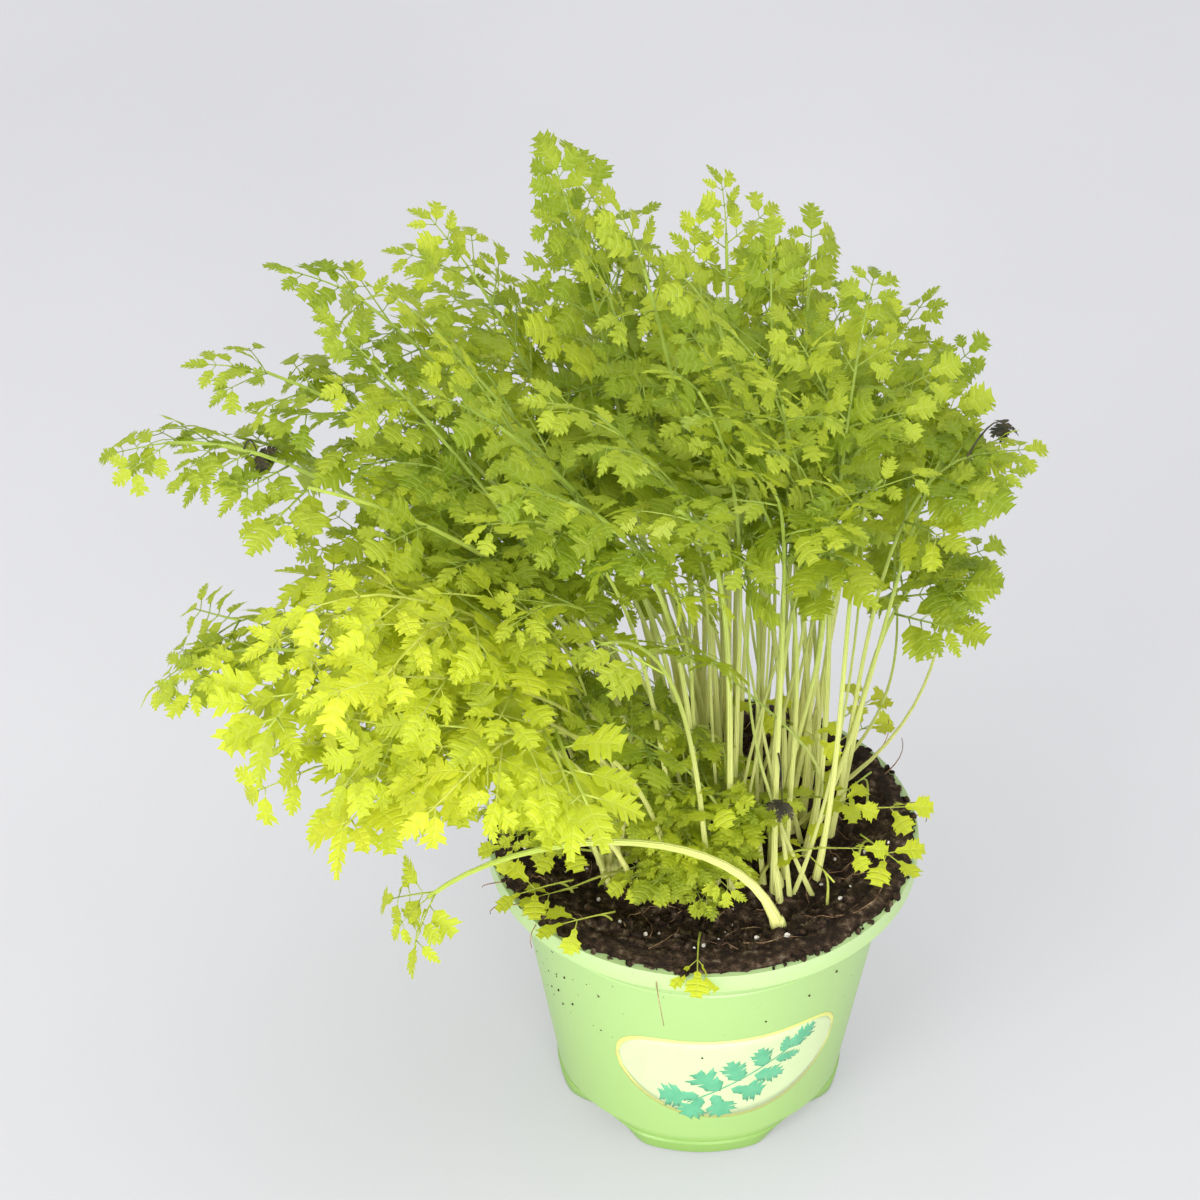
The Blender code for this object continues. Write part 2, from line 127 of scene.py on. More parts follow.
def mottle_group():
    """A node group that gives a cloudy mask and a fine mask from Object coordinates."""
    tree = bpy.data.node_groups.new("mottle", "ShaderNodeTree")
    face = tree.interface
    face.new_socket("Scale", in_out="INPUT", socket_type="NodeSocketFloat").default_value = 60
    face.new_socket("Fine Scale", in_out="INPUT", socket_type="NodeSocketFloat").default_value = 900
    face.new_socket("Cloud", in_out="OUTPUT", socket_type="NodeSocketFloat")
    face.new_socket("Fine", in_out="OUTPUT", socket_type="NodeSocketFloat")
    given = tree.nodes.new("NodeGroupInput")
    result = tree.nodes.new("NodeGroupOutput")
    place = tree.nodes.new("ShaderNodeTexCoord")
    for source, target in (("Scale", "Cloud"), ("Fine Scale", "Fine")):
        cloud = tree.nodes.new("ShaderNodeTexNoise")
        cloud.inputs["Detail"].default_value = 4
        link(tree, place.outputs["Object"], cloud.inputs["Vector"])
        link(tree, given.outputs[source], cloud.inputs["Scale"])
        link(tree, cloud.outputs["Fac"], result.inputs[target])
    return tree


MOTTLE = mottle_group()
print("mottle group", len(MOTTLE.nodes), "nodes")

# %% Helpers that wire a material


def new_material(name, roughness):
    """A Principled material of a given roughness: returns the material, its tree and its shader."""
    finish = bpy.data.materials.new(name)
    finish.use_nodes = True
    shader = finish.node_tree.nodes["Principled BSDF"]
    shader.inputs["Roughness"].default_value = roughness
    return finish, finish.node_tree, shader


def add_mottle(tree, scale, fine_scale):
    """Place the mottle group in a material."""
    node = tree.nodes.new("ShaderNodeGroup")
    node.node_tree = MOTTLE
    node.inputs["Scale"].default_value = scale
    node.inputs["Fine Scale"].default_value = fine_scale
    return node


def add_ramp(tree, factor, stops):
    """A colour ramp with the given (position, colour) stops, read at a factor socket."""
    node = tree.nodes.new("ShaderNodeValToRGB")
    ramp = node.color_ramp
    ramp.elements[0].position, ramp.elements[0].color = stops[0][0], (*stops[0][1], 1)
    ramp.elements[1].position, ramp.elements[1].color = stops[-1][0], (*stops[-1][1], 1)
    for position, colour in stops[1:-1]:
        ramp.elements.new(position).color = (*colour, 1)
    link(tree, factor, node.inputs["Fac"])
    return node.outputs["Color"]


def add_mix(tree, factor, first, second):
    """Mix two colours. Each is a socket or a plain colour, and the factor a socket or a number."""
    node = tree.nodes.new("ShaderNodeMix")
    node.data_type = "RGBA"
    colour_inputs = (node.inputs[0], node.inputs[6], node.inputs[7])
    for socket, value in zip(colour_inputs, (factor, first, second)):
        if isinstance(value, bpy.types.NodeSocket):
            link(tree, value, socket)
        elif isinstance(value, tuple):
            socket.default_value = (*value, 1)
        else:
            socket.default_value = value
    return node.outputs[2]


def add_math(tree, operation, *values):
    """A Math node on sockets or numbers."""
    node = tree.nodes.new("ShaderNodeMath")
    node.operation = operation
    for socket, value in zip(node.inputs, values):
        if isinstance(value, bpy.types.NodeSocket):
            link(tree, value, socket)
        else:
            socket.default_value = value
    return node.outputs["Value"]


def add_bump(tree, shader, height, distance, strength=1.0):
    """Raise the surface by a height mask."""
    node = tree.nodes.new("ShaderNodeBump")
    node.inputs["Distance"].default_value = distance
    node.inputs["Strength"].default_value = strength
    link(tree, height, node.inputs["Height"])
    link(tree, node.outputs["Normal"], shader.inputs["Normal"])


def read_attribute(tree, name):
    """The float that each vertex of a piece carries under a name."""
    node = tree.nodes.new("ShaderNodeAttribute")
    node.attribute_name = name
    return node.outputs["Fac"]


print("material helpers ready")

# %% Lay the floor
FLOOR_HALF_WIDTH = 6
FLOOR_DROP = 0.0004
floor_finish, tree, shader = new_material("pale_floor", 0.75)
floor_cloud = add_mottle(tree, 3, 40)
floor_colour = add_ramp(tree, floor_cloud.outputs["Cloud"],
                        [(0.3, (0.29, 0.29, 0.30)), (0.7, (0.31, 0.31, 0.32))])
link(tree, floor_colour, shader.inputs["Base Color"])
link(tree, floor_colour, shader.inputs["Emission Color"])
shader.inputs["Emission Strength"].default_value = 1.0
floor_mesh = bpy.data.meshes.new("floor")
bm = bmesh.new()
bmesh.ops.create_grid(bm, x_segments=1, y_segments=1, size=FLOOR_HALF_WIDTH)
bm.to_mesh(floor_mesh)
bm.free()
floor_mesh.materials.append(floor_finish)
floor = bpy.data.objects.new("floor", floor_mesh)
floor.location = (0, 0, -FLOOR_DROP)
bpy.context.scene.collection.objects.link(floor)
print("floor laid")

# %% [markdown]
# ## Leaf blade
#
# A chervil leaflet is thin enough for light to shine through, so it is brightest where a lamp is
# behind it. A Principled shader alone would look like painted card. We add a Translucent shader
# to it, which passes light on to the other side. The colour runs from mid green to a sharp
# yellow-green, by an attribute called yellowing that each leaflet carries. The underside is paler,
# and pale veins run to each lobe. The leaflet's UV map goes across it in u and counts the lobes in
# v. So one wave in v marks every side vein, and the line where u is a half is the middle vein.

# %% Mix the leaf finish
LEAF_COLOURS = [
    (0.00, (0.180, 0.260, 0.014)),
    (0.30, (0.375, 0.450, 0.036)),
    (0.62, (0.510, 0.585, 0.032)),
    (1.00, (0.600, 0.640, 0.038)),
]
THROUGH_COLOURS = [
    (0.00, (0.420, 0.530, 0.010)),
    (0.30, (0.610, 0.700, 0.024)),
    (0.62, (0.680, 0.750, 0.020)),
    (1.00, (0.730, 0.760, 0.024)),
]
VEIN_COLOUR = (0.62, 0.70, 0.20)
UNDERSIDE_COLOUR = (0.54, 0.61, 0.20)
VEIN_PLACE = 0.6  # how far up each lobe its vein runs
SIDE_VEIN_SHARPNESS = 12.0
MIDDLE_VEIN_SHARPNESS = 9.0
LEAF_GLOW = 0.40


def pass_light(tree, shader, colour, share):
    """Let a share of the light through: the Principled shader mixed with a Translucent one."""
    translucent = tree.nodes.new("ShaderNodeBsdfTranslucent")
    link(tree, colour, translucent.inputs["Color"])
    blend = tree.nodes.new("ShaderNodeMixShader")
    blend.inputs["Fac"].default_value = share
    link(tree, shader.outputs["BSDF"], blend.inputs[1])
    link(tree, translucent.outputs["BSDF"], blend.inputs[2])
    link(tree, blend.outputs["Shader"], tree.nodes["Material Output"].inputs["Surface"])


leaf_finish, tree, shader = new_material("leaf_blade", 0.52)
cloud = add_mottle(tree, 140, 1500)
ripeness = add_math(tree, "ADD", read_attribute(tree, "yellowing"),
                    add_math(tree, "MULTIPLY_ADD", cloud.outputs["Cloud"], 0.30, -0.15))
top_colour = add_ramp(tree, ripeness, LEAF_COLOURS)
through_colour = add_ramp(tree, ripeness, THROUGH_COLOURS)
leaf_map = tree.nodes.new("ShaderNodeUVMap")
leaf_map.uv_map = "UVMap"
split = tree.nodes.new("ShaderNodeSeparateXYZ")
link(tree, leaf_map.outputs["UV"], split.inputs["Vector"])
turned = add_math(tree, "MULTIPLY_ADD", split.outputs["Y"], 2 * pi, -VEIN_PLACE * 2 * pi)
wave = add_math(tree, "COSINE", turned)
side_vein = add_math(tree, "POWER", add_math(tree, "MULTIPLY_ADD", wave, 0.5, 0.5),
                     SIDE_VEIN_SHARPNESS)
off_middle = add_math(tree, "ABSOLUTE", add_math(tree, "SUBTRACT", split.outputs["X"], 0.5))
middle_vein = add_math(tree, "POWER", add_math(tree, "MULTIPLY_ADD", off_middle, -2.0, 1.0),
                       MIDDLE_VEIN_SHARPNESS)
vein = add_math(tree, "MAXIMUM", side_vein, middle_vein)
veined = add_mix(tree, add_math(tree, "MULTIPLY", vein, 0.22), top_colour, VEIN_COLOUR)
geometry = tree.nodes.new("ShaderNodeNewGeometry")
under = add_math(tree, "MULTIPLY", geometry.outputs["Backfacing"], 0.25)
link(tree, add_mix(tree, under, veined, UNDERSIDE_COLOUR), shader.inputs["Base Color"])
shader.inputs["Specular IOR Level"].default_value = 0.22
add_bump(tree, shader, add_math(tree, "MULTIPLY_ADD", vein, -0.6, cloud.outputs["Fine"]), 0.00025)
pass_light(tree, shader, through_colour, LEAF_GLOW)
print("leaf finish", len(tree.nodes), "nodes")

# %% [markdown]
# ## Stem
#
# Stems are pale yellow-green and almost white at their foot, where they never saw light. They are
# juicy, so they pass some light on too, and they are finely ribbed along their length. The
# attribute pallor is 1 at the soil and falls to 0 up the stem, and the UV map's u goes round it,
# so a wave in u makes the ribs.

# %% Mix the stem finish
STEM_COLOURS = [
    (0.0, (0.40, 0.56, 0.08)),
    (0.5, (0.62, 0.74, 0.11)),
    (1.0, (0.84, 0.86, 0.13)),
]
PALE_FOOT_COLOUR = (0.96, 0.94, 0.38)
GROOVE_COLOUR = (0.52, 0.66, 0.13)
STEM_GLOW = 0.30
stem_finish, tree, shader = new_material("stem_skin", 0.42)
cloud = add_mottle(tree, 90, 1100)
young_skin = add_ramp(tree, read_attribute(tree, "yellowing"), STEM_COLOURS)
paler = add_math(tree, "ADD", read_attribute(tree, "pallor"),
                 add_math(tree, "MULTIPLY_ADD", cloud.outputs["Cloud"], 0.3, -0.15))
stem_colour = add_mix(tree, paler, young_skin, PALE_FOOT_COLOUR)
stem_map = tree.nodes.new("ShaderNodeUVMap")
stem_map.uv_map = "UVMap"
split = tree.nodes.new("ShaderNodeSeparateXYZ")
link(tree, stem_map.outputs["UV"], split.inputs["Vector"])
rib = add_math(tree, "COSINE", add_math(tree, "MULTIPLY", split.outputs["X"], 2 * pi))
groove = add_math(tree, "MULTIPLY_ADD", rib, 0.5, 0.5)
ribbed = add_mix(tree, add_math(tree, "MULTIPLY", groove, 0.25), stem_colour, GROOVE_COLOUR)
link(tree, ribbed, shader.inputs["Base Color"])
pass_light(tree, shader, stem_colour, STEM_GLOW)
add_bump(tree, shader, groove, 0.00018)
print("stem finish", len(tree.nodes), "nodes")

# %% [markdown]
# ## One leaflet
#
# A chervil leaflet is cut like a feather: lobes stand in pairs along its middle vein, they point
# forwards, and each has a tooth below its tip. It could be drawn as a curve and filled, but then
# its inside would have no rows to bend. We start from a grid instead: its rows become stations
# along the middle vein, its columns the way out to the edge. Moving the edge points in and out
# cuts the lobes. Each lobe takes four stations: gap, tooth, notch, tip. The blade folds up from
# its middle vein, and curls down again at its edge and its tip. That is only a few dozen faces,
# which matters, because the clump holds thousands of leaflets.

# %% Shape leaflets from a grid
STATIONS = 4
COLUMNS = 4
STATION_PLACES = (0.0, 0.15, 0.52, 0.86)
TOOTH_REACH = (0.0, 0.88, 0.80, 1.0)
LOBE_SHORTENING = 0.70
FOLD = 0.30
ARCH = 0.24
CURL = 0.55


def edge_width(shape, row):
    """How far the edge stands from the middle vein at a station."""
    reaches = shape["reaches"]
    lobe, station = divmod(row, STATIONS)
    if row == 0 or lobe == len(reaches):
        return 0.0
    if station:
        return reaches[lobe] * TOOTH_REACH[station]
    neighbour = reaches[lobe - 1] if lobe else 0.0
    return shape["gap"] * (reaches[lobe] + neighbour) / 2


def leaflet_mesh(name, shape):
    """A leaflet one unit long, with its foot at the origin and its tip along +Y."""
    rows = STATIONS * len(shape["reaches"])
    bm = bmesh.new()
    bmesh.ops.create_grid(bm, x_segments=COLUMNS, y_segments=rows, size=0.5)
    uv_layer = bm.loops.layers.uv.new("UVMap")
    for value in ("yellowing", "pallor"):
        bm.verts.layers.float.new(value)
    places = {vert: (round(vert.co.x * COLUMNS), round((vert.co.y + 0.5) * rows))
              for vert in bm.verts}
    for face in bm.faces:
        face.smooth = True
        for loop in face.loops:
            column, row = places[loop.vert]
            loop[uv_layer].uv = (0.5 + column / COLUMNS, row / STATIONS)
    for vert, (column, row) in places.items():
        width = edge_width(shape, row) * column / (COLUMNS / 2)
        lobe, station = divmod(row, STATIONS)
        along = ((lobe + STATION_PLACES[station]) / len(shape["reaches"])) ** LOBE_SHORTENING
        along += shape["sweep"] * abs(width)
        vert.co = (width, along, FOLD * abs(width) - CURL * width**2 - ARCH * along**2)
    bmesh.ops.remove_doubles(bm, verts=bm.verts, dist=1e-5)
    bmesh.ops.recalc_face_normals(bm, faces=bm.faces)
    if sum(face.normal.z for face in bm.faces) < 0:
        bmesh.ops.reverse_faces(bm, faces=bm.faces)
    mesh = bpy.data.meshes.new(name)
    bm.to_mesh(mesh)
    bm.free()
    return mesh


# The reach of each pair of lobes from the foot up, how much of it the gaps keep, and how far the
# lobes sweep forwards.
OVATE = {"reaches": (0.34, 0.42, 0.28, 0.12), "gap": 0.28, "sweep": 0.46}
NARROW = {"reaches": (0.28, 0.28, 0.18, 0.09), "gap": 0.26, "sweep": 0.60}
FAN = {"reaches": (0.34, 0.50, 0.22), "gap": 0.28, "sweep": 0.44}
BROAD = {"reaches": (0.20, 0.50, 0.46, 0.24), "gap": 0.40, "sweep": 0.32}
YOUNG = {"reaches": (0.15, 0.44, 0.47, 0.24), "gap": 0.66, "sweep": 0.22}
LEAFLETS = [leaflet_mesh(f"leaflet_{index}", shape)
            for index, shape in enumerate((OVATE, NARROW, FAN, BROAD))]
YOUNG_LEAFLET = leaflet_mesh("leaflet_young", YOUNG)
print("leaflets of", [len(mesh.polygons) for mesh in LEAFLETS], "faces")

# %% [markdown]
# ## Tubes for stems and stalks
#
# A stem is a ring of points drawn along a curve. A curve object with a bevel could do it, but we
# want ribs, a taper and attributes that change along the stem. So we create a circle, and extrude
# its edge again and again to the next place on the curve, as a potter pulls a handle.

# %% Draw a tube along frames


def set_along(bm, verts, name, value):
    """Give one attribute value to some vertices."""
    layer = bm.verts.layers.float[name]
    for vert in verts:
        vert[layer] = value


def draw_tube(bm, frames, radii, sides, pallors, yellowing, material_index):
    """A closed tube through frames, with a radius and a pallor at each.

    A frame is a point, two directions across the tube and the direction along it.
    """
    uv_layer = bm.loops.layers.uv["UVMap"]
    ring = bmesh.ops.create_circle(bm, segments=sides, radius=1.0, cap_ends=False)["verts"]
    made = list(ring)
    edges = list({edge for vert in ring for edge in vert.link_edges})
    corners = {vert: (index, 0) for index, vert in enumerate(ring)}
    shape = [vert.co.copy() for vert in ring]
    rows = [ring]
    for row in range(1, len(frames)):
        grown = bmesh.ops.extrude_edge_only(bm, edges=edges)["geom"]
        edges = [item for item in grown if isinstance(item, bmesh.types.BMEdge)]
        fresh = [item for item in grown if isinstance(item, bmesh.types.BMVert)]
        start = rows[-1]
        partner = {}
        for vert in fresh:
            old = next(edge.other_vert(vert) for edge in vert.link_edges if edge not in edges)
            partner[start.index(old)] = vert
        rows.append([partner[index] for index in range(sides)])
        made += fresh
    for row, ring in enumerate(rows):
        point, side, normal = frames[row][:3]
        for index, vert in enumerate(ring):
            corners[vert] = (index, row)
            vert.co = point + (side * shape[index].x + normal * shape[index].y) * radii[row]
        set_along(bm, ring, "pallor", pallors[row])
        set_along(bm, ring, "yellowing", yellowing)
    caps = [bm.faces.new(rows[0]), bm.faces.new(rows[-1])]
    faces = list({face for vert in made for face in vert.link_faces})
    for face in faces:
        face.material_index = material_index
        face.smooth = True
        columns = [corners[loop.vert][0] for loop in face.loops]
        closes_ring = max(columns) == sides - 1 and face not in caps
        for loop, column in zip(face.loops, columns):
            turned = sides if column == 0 and closes_ring else column
            loop[uv_layer].uv = (turned, corners[loop.vert][1])
    bmesh.ops.recalc_face_normals(bm, faces=faces)


def new_growth():
    """An empty bmesh that carries a UV map and the two plant attributes."""
    bm = bmesh.new()
    bm.loops.layers.uv.new("UVMap")
    bm.verts.layers.float.new("yellowing")
    bm.verts.layers.float.new("pallor")
    return bm


def stamp(bm, mesh, place, yellowing):
    """Add a copy of a small mesh at a place, and shift its yellowing."""
    start = len(bm.verts)
    bm.from_mesh(mesh)
    bm.verts.ensure_lookup_table()
    fresh = bm.verts[start:]
    bmesh.ops.transform(bm, matrix=place, verts=fresh)
    layer = bm.verts.layers.float["yellowing"]
    for vert in fresh:
        vert[layer] += yellowing


def basis(point, side, along, normal, scale=1.0):
    """A placement matrix with X along side, Y along the growth and Z along the normal."""
    columns = Matrix((side, along, normal)).transposed().to_4x4()
    return Matrix.Translation(point) @ columns @ Matrix.Scale(scale, 4)


print("tube and stamp helpers ready")

# %% [markdown]
# ## A spray of leaflets
#
# Along a frond sit short side sprays: a thin stalk with pairs of leaflets and one at its end.
# Each pair is a little smaller than the one below it, and every leaflet tilts and rolls on its
# own. Sixteen different sprays, stamped with different sizes and turns, are enough to hide that
# they repeat. Four more, of one pair of rounded leaflets each, are for the young leaves.

# %% Grow the sprays
SPRAY_LENGTH = 0.034
STALK_RADIUS = 0.00034
STALK_END = 0.70
STALK_STEPS = 4
END_LEAFLET = 0.34
SIDE_LEAFLET = 0.33
SHRINK_PER_PAIR = 0.035
rng = random.Random(11)


def spray_mesh(name, pairs, length, kinds):
    """A spray with its foot at the origin, along +Y, that bends down to its tip."""
    bm = new_growth()
    bow = rng.uniform(0.02, 0.24)
    swing = rng.uniform(-0.08, 0.08)

    def place_at(share):
        point = Vector((swing * share**2, share, -bow * share**2)) * length
        along = Vector((2 * swing * share, 1, -2 * bow * share)).normalized()
        side = Vector((1, 0, 0))
        side = (side - along * side.dot(along)).normalized()
        return point, side, side.cross(along), along

    shares = [STALK_END * step / STALK_STEPS for step in range(STALK_STEPS + 1)]
    radii = [STALK_RADIUS * (1.25 - 0.6 * step / STALK_STEPS) for step in range(STALK_STEPS + 1)]
    draw_tube(bm, [place_at(share) for share in shares], radii, 5, [0.0] * len(shares), 0.0, 1)
    spots = [(STALK_END - 0.02, 0.0, END_LEAFLET)]
    for pair in range(pairs):
        share = STALK_END * (0.26 + 0.60 * pair / (pairs - 1) if pairs > 1 else 0.72)
        for hand in (-1, 1):
            angle = hand * rng.uniform(46, 64)
            size = SIDE_LEAFLET - SHRINK_PER_PAIR * pair + rng.uniform(-0.03, 0.03)
            spots.append((share, angle, size))
    for share, angle, size in spots:
        point, side, normal, along = place_at(share)
        turn = Matrix.Rotation(-radians(angle), 3, normal)
        roll = Matrix.Rotation(radians(rng.uniform(-28, 28)), 3, along)
        tilt = Matrix.Rotation(radians(rng.uniform(-26, 14)), 3, side)
        turned = roll @ turn @ tilt
        across, forward, upward = turned @ side, turned @ along, turned @ normal
        foot = point
        if angle:
            reach = length * rng.uniform(0.05, 0.12)
            foot = point + forward * reach
            twig = [(end, across, upward, forward) for end in (point, foot + forward * 0.001)]
            draw_tube(bm, twig, [STALK_RADIUS * 0.7, STALK_RADIUS * 0.6], 4, [0.0, 0.0], 0.0, 1)
        stamp(bm, rng.choice(kinds), basis(foot, across, forward, upward, size * length),
              rng.uniform(-0.10, 0.10))
    mesh = bpy.data.meshes.new(name)
    bm.to_mesh(mesh)
    bm.free()
    return mesh


# Small, middling and large sprays have two, three and four pairs of leaflets.
SPRAYS = {size: [spray_mesh(f"spray_{size}_{index}", size + 1, SPRAY_LENGTH, LEAFLETS)
                 for index in range(count)] for size, count in ((1, 5), (2, 7), (3, 4))}
YOUNG_SPRAYS = [spray_mesh(f"young_spray_{index}", 1, SPRAY_LENGTH, [YOUNG_LEAFLET])
                for index in range(4)]
print("sprays", {size: len(group) for size, group in SPRAYS.items()}, "young", len(YOUNG_SPRAYS))

# %% [markdown]
# ## The pot's and the soil's measures
#
# Everything grows from the soil and the soil sits in the pot, so their sizes come first. They are
# read off the CAD boxes where a box says them, and the small steps of the wall are plain values.

# %% Measure the pot and the soil
pot_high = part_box("pot")[1]
POT_HEIGHT = pot_high.z
RIM_RADIUS = pot_high.x
LIP_WIDTH = 0.0052
LIP_DEPTH = 0.0055
BASE_RADIUS = 0.0405
WALL = 0.0012
BASE_THICKNESS = 0.0016
FOOT_BAND = 0.0035
FOOT_STEP = 0.0006
GAP = 0.0003
SOIL_BELOW_RIM = 0.0050
SOIL_MOUND = 0.0045
SOIL_LUMP = 0.0007
SOIL_LUMP_PITCH = 0.0060


def outer_radius(z):
    """The pot's outer wall above its foot band."""
    return BASE_RADIUS + (RIM_RADIUS - LIP_WIDTH - BASE_RADIUS) * z / POT_HEIGHT - FOOT_STEP


SOIL_EDGE = POT_HEIGHT - SOIL_BELOW_RIM
SOIL_RADIUS = outer_radius(SOIL_EDGE) - WALL - GAP


def soil_height(x, y):
    """The soil's surface: a low mound with gentle lumps."""
    share = min(hypot(x, y) / SOIL_RADIUS, 1.0)
    lumps = SOIL_LUMP * sin(x / SOIL_LUMP_PITCH) * sin(y / SOIL_LUMP_PITCH + 1.0)
    return SOIL_EDGE + (SOIL_MOUND + lumps) * (1 - share * share)


print("rim radius", round(1000 * RIM_RADIUS, 1), "soil radius", round(1000 * SOIL_RADIUS, 1), "mm")

# %% [markdown]
# ## The growth rule
#
# Sown seedlings stand in a sunflower pattern: each next one turns by the golden angle and sits a
# little further out. A leaf leaves the soil almost upright, then bends over. One cubic curve
# from the ground to the tip holds this: two inner knots give the direction at the foot and at the
# tip. The CAD leaves follow the same rule, so the detailed fronds lie where the CAD says.

# %% Plan one leaf
GOLDEN_ANGLE = radians(137.50776)
FIRST_SPOT_ANGLE = 0.9
PLANTING_MARGIN = 0.0138
PLANTING_CENTRE = Vector((0.002, 0.004))
PLANTING_SPOTS = 40
ROOT_TILT = 0.21
LOWER_REACH = 0.44
UPPER_REACH = 0.36
SHORTENING = 0.5


def planting_spot(index, spots=PLANTING_SPOTS):
    """A spot of the sunflower pattern on the soil."""
    radius = (SOIL_RADIUS - PLANTING_MARGIN) * sqrt((index + 0.6) / spots)
    angle = index * GOLDEN_ANGLE + FIRST_SPOT_ANGLE
    return PLANTING_CENTRE.x + radius * cos(angle), PLANTING_CENTRE.y + radius * sin(angle)


def leaf_plan(root, tip, slope):
    """Where a leaf is rooted, how it rises, and where and at what slope its tip hangs."""
    ground = Vector((root[0], root[1], soil_height(*root)))
    tip = Vector(tip)
    out = (tip - ground) * Vector((1, 1, 0))
    out.normalize()
    rise = (UP + out * ROOT_TILT * hypot(*root) / SOIL_RADIUS).normalized()
    end = out * cos(radians(slope)) + UP * sin(radians(slope))
    return {"ground": ground, "rise": rise, "tip": tip, "end": end, "side": UP.cross(out),
            "sway": 0.0, "size": 1.0}


def stem_point(plan, share):
    """A point and the direction at a share of the stem, from the ground to the tip."""
    tip = plan["ground"].lerp(plan["tip"], 1 - (1 - plan["size"]) * SHORTENING)
    span = (tip - plan["ground"]).length
    sway = plan["side"] * plan["sway"]
    knots = (
        plan["ground"],
        plan["ground"] + plan["rise"] * LOWER_REACH * span + sway * 0.4,
        tip - plan["end"] * UPPER_REACH * span + sway,
        tip + sway * 0.5,
    )
    rest = 1 - share
    weights = (rest**3, 3 * share * rest**2, 3 * share**2 * rest, share**3)
    point = sum((knot * weight for knot, weight in zip(knots, weights)), Vector())
    slopes = (rest**2, 2 * share * rest, share**2)
    along = sum(((b - a) * weight for a, b, weight in zip(knots, knots[1:], slopes)), Vector())
    return point, along.normalized()


print("first spot", [round(1000 * value) for value in planting_spot(0)], "mm from the axis")

# %% [markdown]
# ## Plans of the CAD leaves
#
# Twenty-five crown leaves end on a half-egg that leans to the left. Fifteen reach out of it where
# the real plant does: each has a planting spot, a tip above the rim and the tip's slope.

# %% Plan the CAD leaves
CLUMP_HEIGHT = 0.200
CLUMP_WIDTH = 0.124
CLUMP_DEPTH = 0.104
CROWN_CENTRE = Vector((-0.038, 0.010, POT_HEIGHT + 0.068))
CROWN_RISE = 0.068


def crown_tip(angle, share, layer=1.0):
    """A tip on the leaning half-egg, or on a smaller one inside it, and its slope."""
    droop = radians(20) * cos(angle - radians(205))
    opening = radians(26) * max(0.0, cos(angle - radians(290))) ** 2
    tilt = (radians(84) + droop - opening) * sqrt(share) ** 0.9
    spread = sin(tilt) * layer
    offset = (CLUMP_WIDTH * spread * cos(angle), CLUMP_DEPTH * spread * sin(angle),
              (CLUMP_HEIGHT - CROWN_RISE) * cos(tilt) * layer)
    return CROWN_CENTRE + Vector(offset), 84 - 1.25 * degrees(tilt)


REACHING = {
    # planting spot, tip from the axis and above the rim (m), slope at the tip (degrees)
    "leaf_far_left": (35, (-0.163, 0.006, 0.1205), -32),
    "leaf_left_spray": (27, (-0.140, 0.022, 0.1465), 8),
    "leaf_low_left": (30, (-0.152, -0.014, 0.0605), -48),
    "leaf_front_left": (38, (-0.112, -0.062, 0.0525), -50),
    "leaf_upper_left": (32, (-0.114, 0.034, 0.1725), 35),
    "leaf_top_left": (19, (-0.078, 0.044, 0.1825), 50),
    "leaf_top": (11, (-0.042, 0.042, 0.1995), 72),
    "leaf_top_right": (8, (0.003, 0.044, 0.1975), 76),
    "leaf_right": (31, (0.083, 0.010, 0.1195), -28),
    "leaf_low_right": (39, (0.072, 0.032, 0.0705), -20),
    "leaf_right_high": (26, (0.074, 0.044, 0.1325), 12),
    "leaf_right_back": (34, (0.061, 0.070, 0.1345), 30),
    "leaf_front_high": (22, (-0.114, -0.044, 0.1005), -18),
    "leaf_front_mid": (17, (-0.092, -0.066, 0.0765), -42),
    "leaf_front_low": (25, (-0.066, -0.086, 0.0825), -46),
}


def above_rim(tip):
    """A tip whose height is given above the rim."""
    return Vector(tip) + UP * POT_HEIGHT


cad_plans = {name: leaf_plan(planting_spot(spot), above_rim(tip), slope)
             for name, (spot, tip, slope) in REACHING.items()}
for index in range(PLANTING_SPOTS):
    name = f"leaf_{index + 1:02d}"
    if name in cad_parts:
        angle = index * GOLDEN_ANGLE + FIRST_SPOT_ANGLE
        tip, slope = crown_tip(angle, (index + 0.6) / PLANTING_SPOTS)
        cad_plans[name] = leaf_plan(planting_spot(index), tip, slope)
print("plans for", len(cad_plans), "leaves")

# %% [markdown]
# ## Fit the plans to the CAD
#
# In the CAD model a leaf that met a neighbour swayed to one side or stayed smaller. We find by how
# much from the CAD mesh itself: try each size and sway, measure how far the curve's points lie
# from the mesh, and keep the closest.

# %% Fit sway and size
SIZES = (1.0, 0.8, 0.6, 0.45, 0.3)
SWAYS = [0.007 * step for step in range(-8, 9)]


def distance_to(plan, tree):
    """How far the plan's curve lies from a mesh, on average."""
    points = [stem_point(plan, share / 10)[0] for share in range(1, 11)]
    return sum(tree.find_nearest(point)[3] for point in points) / len(points)


def fit(plan, node):
    """The plan with the sway and size that lie closest to a CAD node's mesh."""
    points = [vert.co for vert in node.data.vertices]
    tree = BVHTree.FromPolygons(points, [face.vertices for face in node.data.polygons])
    tries = [{**plan, "size": size, "sway": sway} for size in SIZES for sway in SWAYS]
    return min(tries, key=lambda option: distance_to(option, tree))


cad_plans = {name: fit(plan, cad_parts[name]) for name, plan in cad_plans.items()}
moved = {name: (plan["size"], round(plan["sway"], 3)) for name, plan in cad_plans.items()
         if plan["sway"] or plan["size"] < 1}
print("swayed or smaller:", moved)

